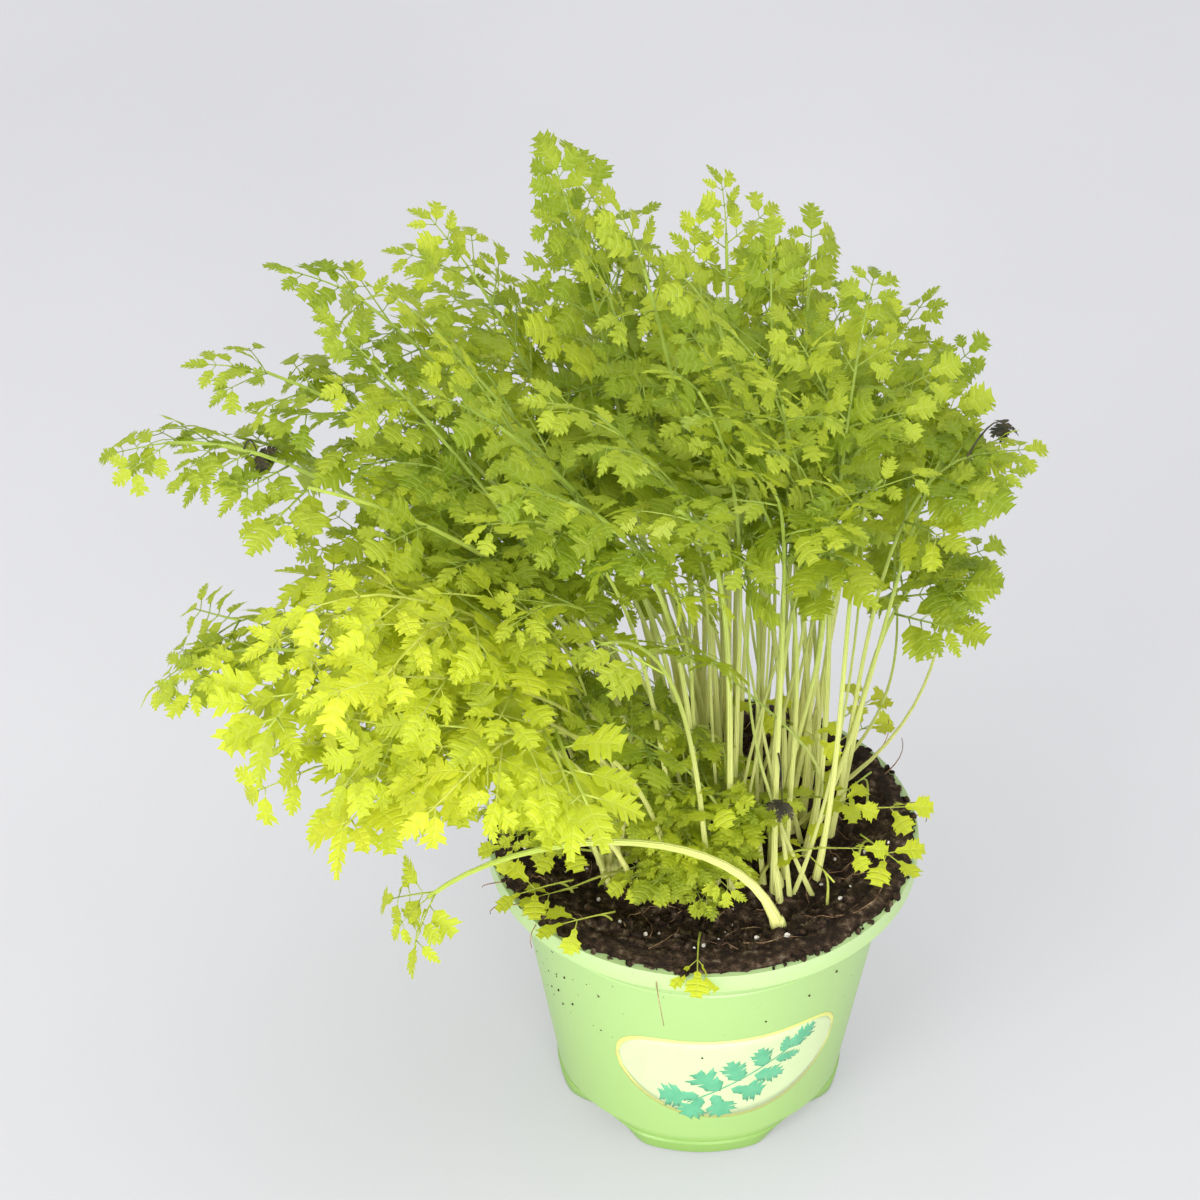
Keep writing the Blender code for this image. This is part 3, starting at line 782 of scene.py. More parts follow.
# %% [markdown]
# ## A whole frond
#
# A frond is a long ribbed stem that is bare for its lower half. Above that it carries sprays in
# pairs, larger first, and one at its tip. Sprays leave the stem forwards at about fifty degrees,
# and turn their upper face to the light, which comes from above. The ones in the front left of
# the clump, or low down, are yellower and broader, as ageing outer leaves are. Where the clump
# shades its own stems, sprays die and drop off. We leave them out by chance, more surely the
# deeper they sit in the shade, because a fixed limit would show as a hard edge.

# %% Colour and shade of a place in the clump
YELLOW_MIDDLE = Vector((-0.088, -0.062, 0.168))
YELLOW_REACH = (0.078, 0.032)  # not yellow beyond the first distance (m), fully within the second
YELLOW_HEIGHT = (0.150, 0.100)
# How much of a height and of a depth shows from where the camera stands.
SEEN_UP = 0.793
SEEN_BACK = 0.609
CANOPY_FOOT = 0.122
CANOPY_RISE = 0.022
FADE_IN = 0.044
FADE_OUT = 0.020
GAP_PLACE = (-0.108, 0.174)
GAP_REACH = (0.040, 0.024)
LEFT_SIDE = -0.052
LEFT_FOOT = (0.096, 0.082)


def smooth_step(low, high, value):
    """0 at low, 1 at high, and a smooth rise between. Low may be the larger value."""
    share = min(max((value - low) / (high - low), 0.0), 1.0)
    return share * share * (3 - 2 * share)


def yellowing_at(point):
    """How yellow leaves are at a place: most in the front left and near the soil."""
    front_left = smooth_step(*YELLOW_REACH, (point - YELLOW_MIDDLE).length)
    low = smooth_step(*YELLOW_HEIGHT, point.z) * 0.40
    return 0.20 + 0.60 * max(front_left, low)


def died_back(point, shaded):
    """Whether chance takes the spray at a place.

    The lowest ones on the left are missing. So are those of a shaded frond that are below the
    canopy, or in the gap in its left side.
    """
    seen = SEEN_UP * point.z + SEEN_BACK * point.y
    chance = 0.0
    if shaded:
        foot = CANOPY_FOOT + CANOPY_RISE * smooth_step(-0.035, 0.010, point.x)
        if point.z > POT_HEIGHT + 0.014:
            chance = (0.92 * smooth_step(LEFT_SIDE, -0.018, point.x)
                      * smooth_step(foot + FADE_IN, foot - FADE_OUT, seen))
        off_gap = hypot(point.x - GAP_PLACE[0], seen - GAP_PLACE[1])
        chance = max(chance, 0.92 * smooth_step(*GAP_REACH, off_gap))
    if point.x < LEFT_SIDE and point.z > POT_HEIGHT + 0.045:
        chance = max(chance, 0.95 * smooth_step(*LEFT_FOOT, seen))
    return rng.random() < chance


print("yellowing at the front left", round(yellowing_at(YELLOW_MIDDLE), 2))

# %% Helpers for fronds
STEM_SIDES = 10
STEM_TAPER = 0.66
FOOT_SWELL = 0.35
BLADE_START = 0.46
BLADE_END = 0.92
LAST_SPRAY = 0.87
FULLY_YELLOW = 0.5
YELLOW_GROWTH = 1.35


def facing_light(normal, along, strength):
    """A blade's normal, turned towards the light and squared to its direction."""
    wanted = normal * (1 - strength) + UP * strength + Vector((0, -0.25, 0)) * strength
    wanted = wanted - along * wanted.dot(along)
    if wanted.length < 1e-3:
        return normal
    return wanted.normalized()


def frame_at(plan, share):
    """Point, side, normal and direction of a stem at a share of its length."""
    point, along = stem_point(plan, share)
    side = (plan["side"] - along * plan["side"].dot(along)).normalized()
    return point, side, along.cross(side), along


def grow_stem(bm, plan, thickness, pallor, yellowing, end=LAST_SPRAY, steps=18):
    """The ribbed stem, from a little below the soil to the foot of the last spray."""
    shares = [end * step / steps for step in range(steps + 1)]
    frames = [frame_at(plan, share) for share in shares]
    ground = frames[0]
    frames.insert(0, (ground[0] - plan["rise"] * 0.004, *ground[1:]))
    shares.insert(0, 0.0)
    radii = [thickness * (1 - STEM_TAPER * share**0.8
                          + FOOT_SWELL * (1 - smooth_step(0.0, 0.12, share))) for share in shares]
    pallors = [pallor * (1 - smooth_step(0.05, 0.75, share)) for share in shares]
    draw_tube(bm, frames, radii, STEM_SIDES, pallors, yellowing, 1)


def grow_sprays(bm, plan, start, pairs, spray_size, light, shaded):
    """Pairs of sprays up the blade, and one at the tip."""
    spots = []
    for pair in range(pairs):
        share = start + (BLADE_END - start) * pair / pairs
        size = spray_size * (1.10 - 0.62 * pair / pairs)
        leaflets = 3 if pair < pairs / 3 else 2 if pair < 2 * pairs / 3 else 1
        for hand in (-1, 1):
            place = share + rng.uniform(-0.012, 0.012)
            spots.append((place, hand * rng.uniform(36, 62), size, leaflets))
    spots.append((LAST_SPRAY, 0.0, spray_size * 0.74, 2))
    for share, angle, size, leaflets in spots:
        point, side, normal, along = frame_at(plan, share)
        if died_back(point, shaded):
            continue
        yellowing = yellowing_at(point)
        if yellowing > FULLY_YELLOW:
            size *= YELLOW_GROWTH
            leaflets = max(leaflets - 1, 1)
        turn = Matrix.Rotation(-radians(angle), 3, normal)
        forward = (turn @ along - UP * rng.uniform(0.0, 0.25)).normalized()
        upward = facing_light(normal, forward, light)
        twist = Matrix.Rotation(radians(rng.uniform(-36, 36)), 3, forward)
        upward = twist @ upward
        spray = rng.choice(SPRAYS[leaflets])
        size *= rng.uniform(0.86, 1.14)
        place = basis(point, forward.cross(upward), forward, upward, size)
        stamp(bm, spray, place, yellowing + rng.uniform(-0.19, 0.17))


def finish_piece(name, bm, finishes, smooth=True):
    """Turn a bmesh into a piece that rides on the pot's body."""
    mesh = bpy.data.meshes.new(name)
    bm.to_mesh(mesh)
    bm.free()
    for finish in finishes:
        mesh.materials.append(finish)
    if smooth:
        mesh.shade_smooth()
    piece = bpy.data.objects.new(name, mesh)
    bpy.context.scene.collection.objects.link(piece)
    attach(piece, "root")
    return piece


def grow_frond(name, plan, thickness, pairs, spray_size, start=BLADE_START, light=0.55,
               shaded=True):
    """One frond as a piece. A shaded frond loses the sprays that have died back."""
    bm = new_growth()
    grow_stem(bm, plan, thickness, 0.85, yellowing_at(plan["tip"].lerp(plan["ground"], 0.15)))
    grow_sprays(bm, plan, start, pairs, spray_size * (0.6 + 0.4 * plan["size"]), light, shaded)
    return finish_piece(name, bm, (leaf_finish, stem_finish))


print("frond helpers ready")

# %% Grow the fronds that stand for CAD leaves
rng.seed(23)
fronds = []
for name, plan in cad_plans.items():
    reaching = name in REACHING
    frond = grow_frond(name.replace("leaf", "frond"), plan, thickness=rng.uniform(0.0008, 0.0011),
                       pairs=5 if reaching else 4, spray_size=0.86 if reaching else 0.92,
                       start=0.62 if reaching else BLADE_START, shaded=not reaching)
    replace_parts(frond, name)
    fronds.append(frond)
print("fronds", len(fronds), "faces", sum(len(frond.data.polygons) for frond in fronds))

# %% [markdown]
# ## The frond that fell over the rim
#
# One thick pale stem has fallen out of the clump. It starts at the front edge of the soil, leans
# out and bends over to the left, above the rim, with a few small sprays at its end. It follows
# the growth rule too, so only its root, its tip and its thickness are its own.

# %% Grow the fallen frond
fallen_angle = radians(-62.5)
fallen_reach = SOIL_RADIUS - 0.0085
fallen_root = (fallen_reach * cos(fallen_angle), fallen_reach * sin(fallen_angle))
fallen_plan = leaf_plan(fallen_root, above_rim((-0.083, -0.074, 0.0265)), -62)
fallen_plan = fit(fallen_plan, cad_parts["leaf_fallen"])
bm = new_growth()
grow_stem(bm, fallen_plan, thickness=0.00145, pallor=1.0, yellowing=0.4)
grow_sprays(bm, fallen_plan, start=0.84, pairs=1, spray_size=0.50, light=0.2, shaded=False)
fallen_frond = finish_piece("frond_fallen", bm, (leaf_finish, stem_finish))
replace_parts(fallen_frond, "leaf_fallen")
print("fallen frond", [round(1000 * value) for value in fallen_plan["tip"]])

# %% [markdown]
# ## Young leaves near the soil
#
# Low in the clump, small young leaves with rounded lobes are almost yellow. Eight of them, round
# the edge of the soil, are CAD leaves. Each is a thin stem with a trio of leaflets.

# %% Grow the young leaves
YOUNG_PLACES = {
    # angle round the pot (degrees), how far in from the soil's edge, the tip from the root (m)
    "young_leaf_1": (-18, 0.0078, (0.004, -0.006, 0.016)),
    "young_leaf_2": (-92, 0.0108, (-0.001, -0.009, 0.006)),
    "young_leaf_3": (-42, 0.0068, (-0.002, 0.003, 0.014)),
    "young_leaf_4": (-143, 0.0078, (-0.006, -0.003, 0.010)),
    "young_leaf_5": (8, 0.0053, (-0.003, -0.004, 0.020)),
    "young_leaf_6": (-122, 0.0068, (-0.006, -0.003, 0.009)),
    "young_leaf_7": (38, 0.0063, (0.005, 0.003, 0.012)),
    "young_leaf_8": (100, 0.0058, (-0.004, 0.005, 0.015)),
}


def grow_young(name, root, offset, size=1.0):
    """A young leaf: a thin stem and one trio of rounded leaflets."""
    ground = Vector((root[0], root[1], soil_height(*root)))
    plan = leaf_plan(root, ground + Vector(offset), 10)
    bm = new_growth()
    yellowing = rng.uniform(0.50, 0.80)
    grow_stem(bm, plan, 0.00055, 0.4, yellowing, end=1.0, steps=8)
    point, _, normal, along = frame_at(plan, 1.0)
    upward = facing_light(normal, along, 0.75)
    place = basis(point - along * 0.006, along.cross(upward), along, upward, 0.68 * size)
    stamp(bm, rng.choice(YOUNG_SPRAYS), place, yellowing)
    return finish_piece(name, bm, (leaf_finish, stem_finish))


rng.seed(5)
for name, (angle, inset, offset) in YOUNG_PLACES.items():
    reach = SOIL_RADIUS - inset
    root = (reach * cos(radians(angle)), reach * sin(radians(angle)))
    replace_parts(grow_young(name + "_detail", root, offset), name)
print("young leaves", len(YOUNG_PLACES))

# %% [markdown]
# ## Fill the clump
#
# The CAD model holds forty tall leaves, and a sown pot holds far more. The rest end on smaller
# half-eggs inside the first, so the clump is full from its skin down. Their stems don't stand
# evenly: several rise from each plant's own crown, so we gather their roots around nine crowns
# and let them lean apart. None ends so low that it would hide the bare stems.

# %% Helper for crowns
CROWNS = [(0.034, 0.028), (0.024, 0.002), (0.002, -0.018), (-0.024, -0.016), (0.006, 0.032),
          (-0.024, 0.018), (-0.008, 0.006), (0.010, 0.014), (0.020, -0.022)]


def crown_root(wanted):
    """A root close to the crown that is nearest to a wanted spot."""
    wanted = Vector(wanted)
    crown = min((Vector(place) for place in CROWNS), key=lambda place: (place - wanted).length)
    spread = Vector((rng.uniform(-1, 1), rng.uniform(-1, 1))) * 0.0055
    return tuple(crown + (wanted - crown) * 0.30 + spread)


print("crowns planned", len(CROWNS))

# %% Grow the filling fronds
FILLERS = 60
THIN_BEYOND = -0.098  # further left than this, few of them reach
LOWEST_SEEN = 0.088
LAYERS = (0.98, 0.84, 0.93, 0.70, 0.89, 0.58)
rng.seed(41)
for index in range(FILLERS):
    angle = (index + 0.37) * GOLDEN_ANGLE + 0.2
    share = min((index + 0.5) / FILLERS, 0.97)
    tip, slope = crown_tip(angle, share, LAYERS[index % len(LAYERS)])
    tip += Vector([rng.uniform(-0.006, 0.006) for _ in range(3)])
    tip.x = max(tip.x, THIN_BEYOND + 0.4 * (tip.x - THIN_BEYOND))
    tip.z = max(tip.z, (LOWEST_SEEN - SEEN_BACK * tip.y) / SEEN_UP)
    plan = leaf_plan(crown_root(planting_spot(index, FILLERS)), tip, slope + rng.uniform(-12, 12))
    plan["sway"] = rng.uniform(-0.034, 0.034)
    lean = Vector((rng.uniform(-0.22, 0.22), rng.uniform(-0.22, 0.22), 0))
    plan["rise"] = (plan["rise"] + lean).normalized()
    frond = grow_frond(f"frond_fill_{index + 1:02d}", plan, thickness=rng.uniform(0.0005, 0.00085),
                       pairs=rng.choice((3, 4)), spray_size=rng.uniform(0.70, 0.92), start=0.52)
    fronds.append(frond)
print("fronds", len(fronds), "faces", sum(len(frond.data.polygons) for frond in fronds))

# %% [markdown]
# ## Undergrowth
#
# Between the stems and at the foot of the clump grow short fronds that the taller ones shade.
# They are small and yellowish, most of them at the front and the left, and they hide much of the
# soil there. Their places are drawn at random in that part of the pot.

# %% Grow the undergrowth
UNDERGROWTH = 40
rng.seed(77)
for index in range(UNDERGROWTH):
    angle = radians(rng.uniform(165, 300))
    reach = rng.uniform(0.010, 0.052)
    tip = Vector((reach * cos(angle) - 0.008, max(reach * sin(angle), -0.032), 0.0))
    height = rng.uniform(0.012, 0.080) * (1 - 0.6 * smooth_step(-0.030, 0.005, tip.x))
    tip.z = POT_HEIGHT + height
    root = crown_root((0.5 * tip.x, 0.5 * tip.y))
    plan = leaf_plan(root, tip, rng.uniform(-20, 30))
    plan["sway"] = rng.uniform(-0.010, 0.010)
    frond = grow_frond(f"frond_low_{index + 1:02d}", plan, thickness=rng.uniform(0.0004, 0.0007),
                       pairs=2, spray_size=rng.uniform(0.44, 0.62), start=0.55, light=0.7,
                       shaded=False)
    fronds.append(frond)
print("undergrowth", UNDERGROWTH, "fronds")

# %% [markdown]
# ## Late leaves
#
# More young leaves come up inside the clump. They are made as the ones at the edge are, but they
# spring from the crowns, and each tip has its own place among the stems.

# %% Grow the late leaves
LATE_TIPS = [
    # across, back and above the rim (m)
    (0.046, 0.000, 0.008), (0.036, -0.026, 0.016), (-0.040, -0.030, 0.004), (0.028, 0.010, 0.012),
    (0.034, -0.010, 0.020), (-0.016, -0.030, 0.012), (-0.048, -0.018, 0.010), (0.040, 0.020, 0.025),
    (-0.022, -0.024, 0.028), (0.012, 0.005, 0.045), (-0.005, -0.015, 0.050), (0.026, -0.004, 0.040),
    (-0.034, -0.028, 0.022), (0.000, -0.022, 0.036),
]
for index, offset in enumerate(LATE_TIPS):
    root = crown_root((0.6 * offset[0], 0.6 * offset[1]))
    ground = Vector((root[0], root[1], soil_height(*root)))
    grow_young(f"young_late_{index + 1:02d}", root, above_rim(offset) - ground,
               rng.uniform(0.75, 1.05))
print("late leaves", len(LATE_TIPS))

# %% [markdown]
# ## Arching stems
#
# A few thin stems bend away from the rest, at both sides and across the front, and carry little
# more than a leaflet or two. Each starts in its own direction instead of rising straight up, and
# such strays break the even look of the others.

# %% Grow the arching stems
ARCHING = [
    # root (m), tip above the rim (m), slope at the tip (degrees), direction at the foot
    ((0.036, 0.020), (0.058, 0.038, 0.125), 100, (0.80, 0.10, 0.60)),
    ((0.034, 0.024), (0.050, 0.020, 0.090), 95, (0.60, -0.10, 0.80)),
    ((-0.024, 0.018), (-0.137, 0.000, 0.056), -80, (-0.50, 0.00, 0.86)),
    ((0.002, -0.018), (-0.030, -0.046, 0.075), 30, (0.40, -0.50, 0.76)),
    ((0.024, 0.002), (-0.010, -0.040, 0.105), 60, (0.50, -0.40, 0.76)),
]
for index, (root, tip, slope, rise) in enumerate(ARCHING):
    plan = leaf_plan(root, above_rim(tip), slope)
    plan["rise"] = Vector(rise).normalized()
    frond = grow_frond(f"frond_arch_{index + 1}", plan, thickness=0.0006, pairs=1, spray_size=0.7,
                       start=0.80, shaded=False)
    fronds.append(frond)
print("arching stems", len(ARCHING), "of", len(fronds), "fronds")

# %% [markdown]
# ## The pot
#
# The pot is blown from thin green plastic: a cone with a turned-down lip, a foot band, and four
# shallow cut-outs between its feet. Such a shape is turned: we draw half of its section once, and
# spin it round the axis. The CAD pot has 48 flat sides, which the lip would show, so this one has
# 144. Its drain holes are cut by a Boolean, and a Bevel rounds every edge as moulding does.

# %% Turn the pot
POT_SIDES = 144
NOTCH_HEIGHT = 0.0065
NOTCH_DEPTH = 0.0055
NOTCH_HALF_ANGLE = radians(24)
DRAIN_CIRCLE = 0.0200
DRAIN_RADIUS = 0.0035
WALL_RINGS = (0.0075, 0.0090)
GROOVE = ((0.0700, 0.0), (0.0705, 0.0003), (0.0715, 0.0))  # heights and depths (m)


def notch_push(angle, z):
    """How far the wall is pushed in at the cut-outs between the feet."""
    off_centre = abs((angle + pi / 2) % (pi / 2) - pi / 4)
    if off_centre > NOTCH_HALF_ANGLE or z >= NOTCH_HEIGHT:
        return 0.0
    return NOTCH_DEPTH * (1 - z / NOTCH_HEIGHT) * (1 - (off_centre / NOTCH_HALF_ANGLE) ** 2) ** 2


def spin_profile(profile, steps):
    """Spin a half-section about the pot's axis."""
    bm = bmesh.new()
    verts = [bm.verts.new((radius, 0.0, z)) for radius, z in profile]
    edges = [bm.edges.new(pair) for pair in zip(verts, verts[1:])]
    bmesh.ops.spin(bm, geom=verts + edges, axis=UP, cent=(0, 0, 0), angle=2 * pi, steps=steps,
                   use_merge=True)
    bmesh.ops.remove_doubles(bm, verts=bm.verts, dist=1e-6)
    return bm


under_lip = POT_HEIGHT - WALL
skirt = RIM_RADIUS - WALL
pot_section = [
    (0.0, 0.0),
    (BASE_RADIUS, 0.0),
    (outer_radius(FOOT_BAND) + FOOT_STEP, FOOT_BAND),
    (outer_radius(FOOT_BAND + FOOT_STEP), FOOT_BAND + FOOT_STEP),
    (outer_radius(NOTCH_HEIGHT), NOTCH_HEIGHT),
    *((outer_radius(z), z) for z in WALL_RINGS),
    *((outer_radius(z) - depth, z) for z, depth in GROOVE),
    (outer_radius(under_lip), under_lip),
    (skirt, under_lip),
    (skirt, POT_HEIGHT - LIP_DEPTH),
    (RIM_RADIUS, POT_HEIGHT - LIP_DEPTH),
    (RIM_RADIUS, POT_HEIGHT),
    (outer_radius(POT_HEIGHT) - WALL, POT_HEIGHT),
    (outer_radius(NOTCH_HEIGHT) - WALL, NOTCH_HEIGHT),
    (outer_radius(BASE_THICKNESS) - WALL, BASE_THICKNESS),
    (0.0, BASE_THICKNESS),
]
bm = spin_profile(pot_section, POT_SIDES)
for vert in bm.verts:
    radius = hypot(vert.co.x, vert.co.y)
    if radius > DRAIN_CIRCLE + DRAIN_RADIUS:
        scale = 1 - notch_push(atan2(vert.co.y, vert.co.x), vert.co.z) / radius
        vert.co.x *= scale
        vert.co.y *= scale
bmesh.ops.recalc_face_normals(bm, faces=bm.faces)
print("pot faces", len(bm.faces))

# %% [markdown]
# ## Pot plastic
#
# The green is slightly cloudy, paler on the lip where the wall is doubled, and stronger on the
# foot band, which is also darker there as painted shade at the pot's foot. Soil dust clings
# under the rim: a fine noise, cut off high, leaves a few brown specks, and a height ramp keeps
# most of them near the top.

# %% Mix the pot plastic
POT_COLOURS_AND_FOOT_SHADE = [
    # share of the pot's height, colour
    # the foot band's two stops: a stronger green, darkened as painted shade at the pot's foot
    (0.00, (0.17, 0.31, 0.06)),
    (0.05, (0.20, 0.35, 0.07)),
    (0.08, (0.28, 0.44, 0.13)),
    (0.92, (0.33, 0.49, 0.18)),
    (0.94, (0.38, 0.52, 0.22)),
    (1.00, (0.40, 0.53, 0.25)),
]
DUST_COLOUR = (0.09, 0.055, 0.025)
pot_finish, tree, shader = new_material("pot_plastic", 0.36)
cloud = add_mottle(tree, 35, 420)
place = tree.nodes.new("ShaderNodeTexCoord")
split = tree.nodes.new("ShaderNodeSeparateXYZ")
link(tree, place.outputs["Object"], split.inputs["Vector"])
height = add_math(tree, "DIVIDE", split.outputs["Z"], POT_HEIGHT)
# the height ramp paints shade on the foot band, darker than the wall above it
wall_colour_and_foot_shade = add_ramp(tree, height, POT_COLOURS_AND_FOOT_SHADE)
cloudy = add_mix(tree, add_math(tree, "MULTIPLY", cloud.outputs["Cloud"], 0.30), wall_colour_and_foot_shade,
                 (0.28, 0.44, 0.14))
speck_mask = add_ramp(tree, cloud.outputs["Fine"], [(0.72, (0, 0, 0)), (0.77, (0.7, 0.7, 0.7))])
high_mask = add_ramp(tree, height, [(0.45, (0.05, 0.05, 0.05)), (1.0, (1, 1, 1))])
dirt = add_math(tree, "MULTIPLY", speck_mask, high_mask)
link(tree, add_mix(tree, dirt, cloudy, DUST_COLOUR), shader.inputs["Base Color"])
link(tree, add_math(tree, "MULTIPLY_ADD", dirt, 0.5, 0.36), shader.inputs["Roughness"])
add_bump(tree, shader, cloud.outputs["Cloud"], 0.0003, 0.5)
print("pot finish", len(tree.nodes), "nodes")

# %% Cut the drain holes and round the edges
DRAIN_HOLES = 6
EDGE_ROUNDING = 0.00045
pot = finish_piece("herb_pot", bm, (pot_finish,))
bm = bmesh.new()
for index in range(DRAIN_HOLES):
    angle = 2 * pi * index / DRAIN_HOLES
    centre = Matrix.Translation((DRAIN_CIRCLE * cos(angle), DRAIN_CIRCLE * sin(angle), 0))
    bmesh.ops.create_cone(bm, cap_ends=True, segments=24, radius1=DRAIN_RADIUS,
                          radius2=DRAIN_RADIUS, depth=6 * BASE_THICKNESS, matrix=centre)
drain_mesh = bpy.data.meshes.new("drain_tool")
bm.to_mesh(drain_mesh)
bm.free()
drain_tool = bpy.data.objects.new("drain_tool", drain_mesh)
bpy.context.scene.collection.objects.link(drain_tool)
drill = pot.modifiers.new("drain_holes", "BOOLEAN")
drill.operation = "DIFFERENCE"
drill.solver = "EXACT"
drill.object = drain_tool
rounding = pot.modifiers.new("rounding", "BEVEL")
rounding.width = EDGE_ROUNDING
rounding.segments = 2
rounding.limit_method = "ANGLE"
rounding.angle_limit = radians(28)
rounding.harden_normals = True
bpy.context.view_layer.update()
drilled = bpy.data.meshes.new_from_object(pot.evaluated_get(bpy.context.evaluated_depsgraph_get()))
pot.modifiers.clear()
pot.data = drilled
bpy.data.objects.remove(drain_tool)
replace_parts(pot, "pot")
print("pot", len(pot.data.polygons), "faces with its drain holes")

# %% [markdown]
# ## The printed panel
#
# A pale rounded panel is printed on the front, with a sprig in dark green on it. Print has no
# thickness to speak of, but a separate skin a few hundredths of a millimetre proud is easy to
# colour and never flickers with the wall. We draw it flat, from a grid, and then wrap it round the
# cone: the distance along the panel becomes an angle. A slightly larger skin under the panel shows
# as its border. All lettering is left out.

# %% Wrap the panel
PANEL_MIDDLE = radians(-80)
PANEL_HALF_WIDTH = 0.0335
PANEL_HEIGHT = 0.035
WIDEST_AT = 0.038
DOME_RISE = 0.0125
BOWL_DEPTH = 0.0225
BORDER_WIDTH = 0.0011
SKIN = 0.00003
BORDER_LIFT, FACE_LIFT, SPRIG_LIFT = 0.00006, 0.00012, 0.00018


def wrap(along, z, lift):
    """A point of the flat drawing, on the pot's wall."""
    radius = outer_radius(z) + lift
    angle = PANEL_MIDDLE + along / outer_radius(PANEL_HEIGHT)
    return Vector((radius * cos(angle), radius * sin(angle), z))


def wrap_drawing(bm, lift):
    """Wrap a flat drawing, x along the wall and y up it, and give it a skin's thickness."""
    for vert in bm.verts:
        vert.co = wrap(vert.co.x, vert.co.y, lift)
    bmesh.ops.recalc_face_normals(bm, faces=bm.faces)
    radial = Vector((1, 1, 0))
    outward = sum(face.normal.dot(face.calc_center_median() * radial) for face in bm.faces)
    if outward < 0:
        bmesh.ops.reverse_faces(bm, faces=bm.faces)
    bmesh.ops.solidify(bm, geom=bm.faces[:], thickness=SKIN)
    bmesh.ops.recalc_face_normals(bm, faces=bm.faces)


def panel_drawing(margin):
    """The panel's outline as a grid: a bowl with a gently domed top, smaller by a margin."""
    bm = bmesh.new()
    bmesh.ops.create_grid(bm, x_segments=64, y_segments=10, size=1.0)
    for vert in bm.verts:
        u, v = vert.co.x, (vert.co.y + 1) / 2
        top = WIDEST_AT + DOME_RISE * (1 - abs(u) ** 6) ** 0.5 - margin
        bottom = WIDEST_AT - BOWL_DEPTH * (1 - abs(u) ** 2.2) ** 0.55 + margin
        height = bottom + (max(top, bottom) - bottom) * v
        vert.co = (u * (PANEL_HALF_WIDTH - margin), height, 0)
    bmesh.ops.remove_doubles(bm, verts=bm.verts, dist=1e-6)
    return bm


def ink(name, first, second):
    """Printing ink: two close tones that drift over the print."""
    finish, tree, shader = new_material(name, 0.45)
    cloud = add_mottle(tree, 260, 2600)
    tone = add_mix(tree, cloud.outputs["Cloud"], first, second)
    grain = add_math(tree, "MULTIPLY", cloud.outputs["Fine"], 0.25)
    link(tree, add_mix(tree, grain, tone, second), shader.inputs["Base Color"])
    return finish


border_ink = ink("ink_border", (0.54, 0.58, 0.15), (0.60, 0.62, 0.18))
cream_ink = ink("ink_cream", (0.44, 0.55, 0.28), (0.52, 0.60, 0.34))
bm = panel_drawing(0.0)
wrap_drawing(bm, BORDER_LIFT)
finish_piece("panel_border", bm, (border_ink,))
bm = panel_drawing(BORDER_WIDTH)
wrap_drawing(bm, FACE_LIFT)
finish_piece("panel_face", bm, (cream_ink,))
print("panel wrapped at", round(degrees(PANEL_MIDDLE)), "degrees")

# %% [markdown]
# ## The printed sprig
#
# The picture is a plain sprig of our own: one slanting stem, broad leaves at its foot and smaller
# toothed ones towards the top right. The leaves reuse the leaflet shapes, laid flat.

# %% Draw the sprig
SPRIG = [
    # along the wall (m), height (m), turn (degrees), size (m), shape
    (-0.0110, 0.0245, 95, 0.0135, 3), (-0.0100, 0.0235, 150, 0.0115, 3),
    (-0.0070, 0.0250, -160, 0.0120, 3), (-0.0050, 0.0265, 40, 0.0125, 2),
    (-0.0020, 0.0270, -110, 0.0120, 3), (0.0005, 0.0300, 20, 0.0115, 0),
    (0.0045, 0.0315, -105, 0.0110, 0), (0.0070, 0.0345, 10, 0.0100, 0),
    (0.0105, 0.0360, -95, 0.0090, 1), (0.0130, 0.0380, 0, 0.0080, 1),
    (0.0145, 0.0390, -48, 0.0115, 0),
]
SPRIG_SHIFT = (0.002, 0.0015)
SPRIG_SCALE = 0.85
SPRIG_FOOT = (-0.0125, 0.0230)
SPRIG_RUN = (0.0300, 0.0185)
SPRIG_STEM_WIDTH = 0.0006
bm = new_growth()
for along, z, turn, size, shape in SPRIG:
    spot = Matrix.Translation((along + SPRIG_SHIFT[0], z + SPRIG_SHIFT[1], 0))
    place = spot @ Matrix.Rotation(radians(turn), 4, "Z") @ Matrix.Scale(SPRIG_SCALE * size, 4)
    stamp(bm, LEAFLETS[shape], place, 0.0)
sprig_stem = bmesh.ops.create_grid(bm, x_segments=40, y_segments=1, size=0.5)["verts"]
for vert in sprig_stem:
    share = vert.co.x + 0.5
    vert.co.x = SPRIG_FOOT[0] + SPRIG_RUN[0] * share
    vert.co.y = SPRIG_FOOT[1] + SPRIG_RUN[1] * share + SPRIG_STEM_WIDTH * vert.co.y
for vert in bm.verts:
    vert.co.z = 0.0
wrap_drawing(bm, SPRIG_LIFT)
green_ink = ink("ink_green", (0.035, 0.26, 0.13), (0.14, 0.44, 0.24))
finish_piece("panel_sprig", bm, (green_ink,))
print("sprig of", len(SPRIG), "leaves")

# %% [markdown]
# ## Soil
#
# Potting soil is dark, coarse and full of bits. One displaced surface carries the big lumps, and
# its finish the small ones. It is turned like the pot, with many rings on top, and each ring point
# is raised by layered noise. The bed banks up at its edge and spills over most of the lip.

# %% Mix the soil finish
SOIL_COLOURS = [
    (0.30, (0.012, 0.007, 0.004)),
    (0.48, (0.050, 0.029, 0.016)),
    (0.60, (0.130, 0.080, 0.045)),
    (0.72, (0.36, 0.28, 0.20)),
]
soil_finish, tree, shader = new_material("soil_peat", 0.95)
cloud = add_mottle(tree, 420, 2400)
soil_colour = add_ramp(tree, cloud.outputs["Cloud"], SOIL_COLOURS)
link(tree, add_mix(tree, add_math(tree, "MULTIPLY", cloud.outputs["Fine"], 0.6), soil_colour,
                   (0.020, 0.012, 0.008)), shader.inputs["Base Color"])
add_bump(tree, shader, add_math(tree, "ADD", cloud.outputs["Cloud"], cloud.outputs["Fine"]), 0.0022)
shader.inputs["Specular IOR Level"].default_value = 0.2
print("soil finish", len(tree.nodes), "nodes")

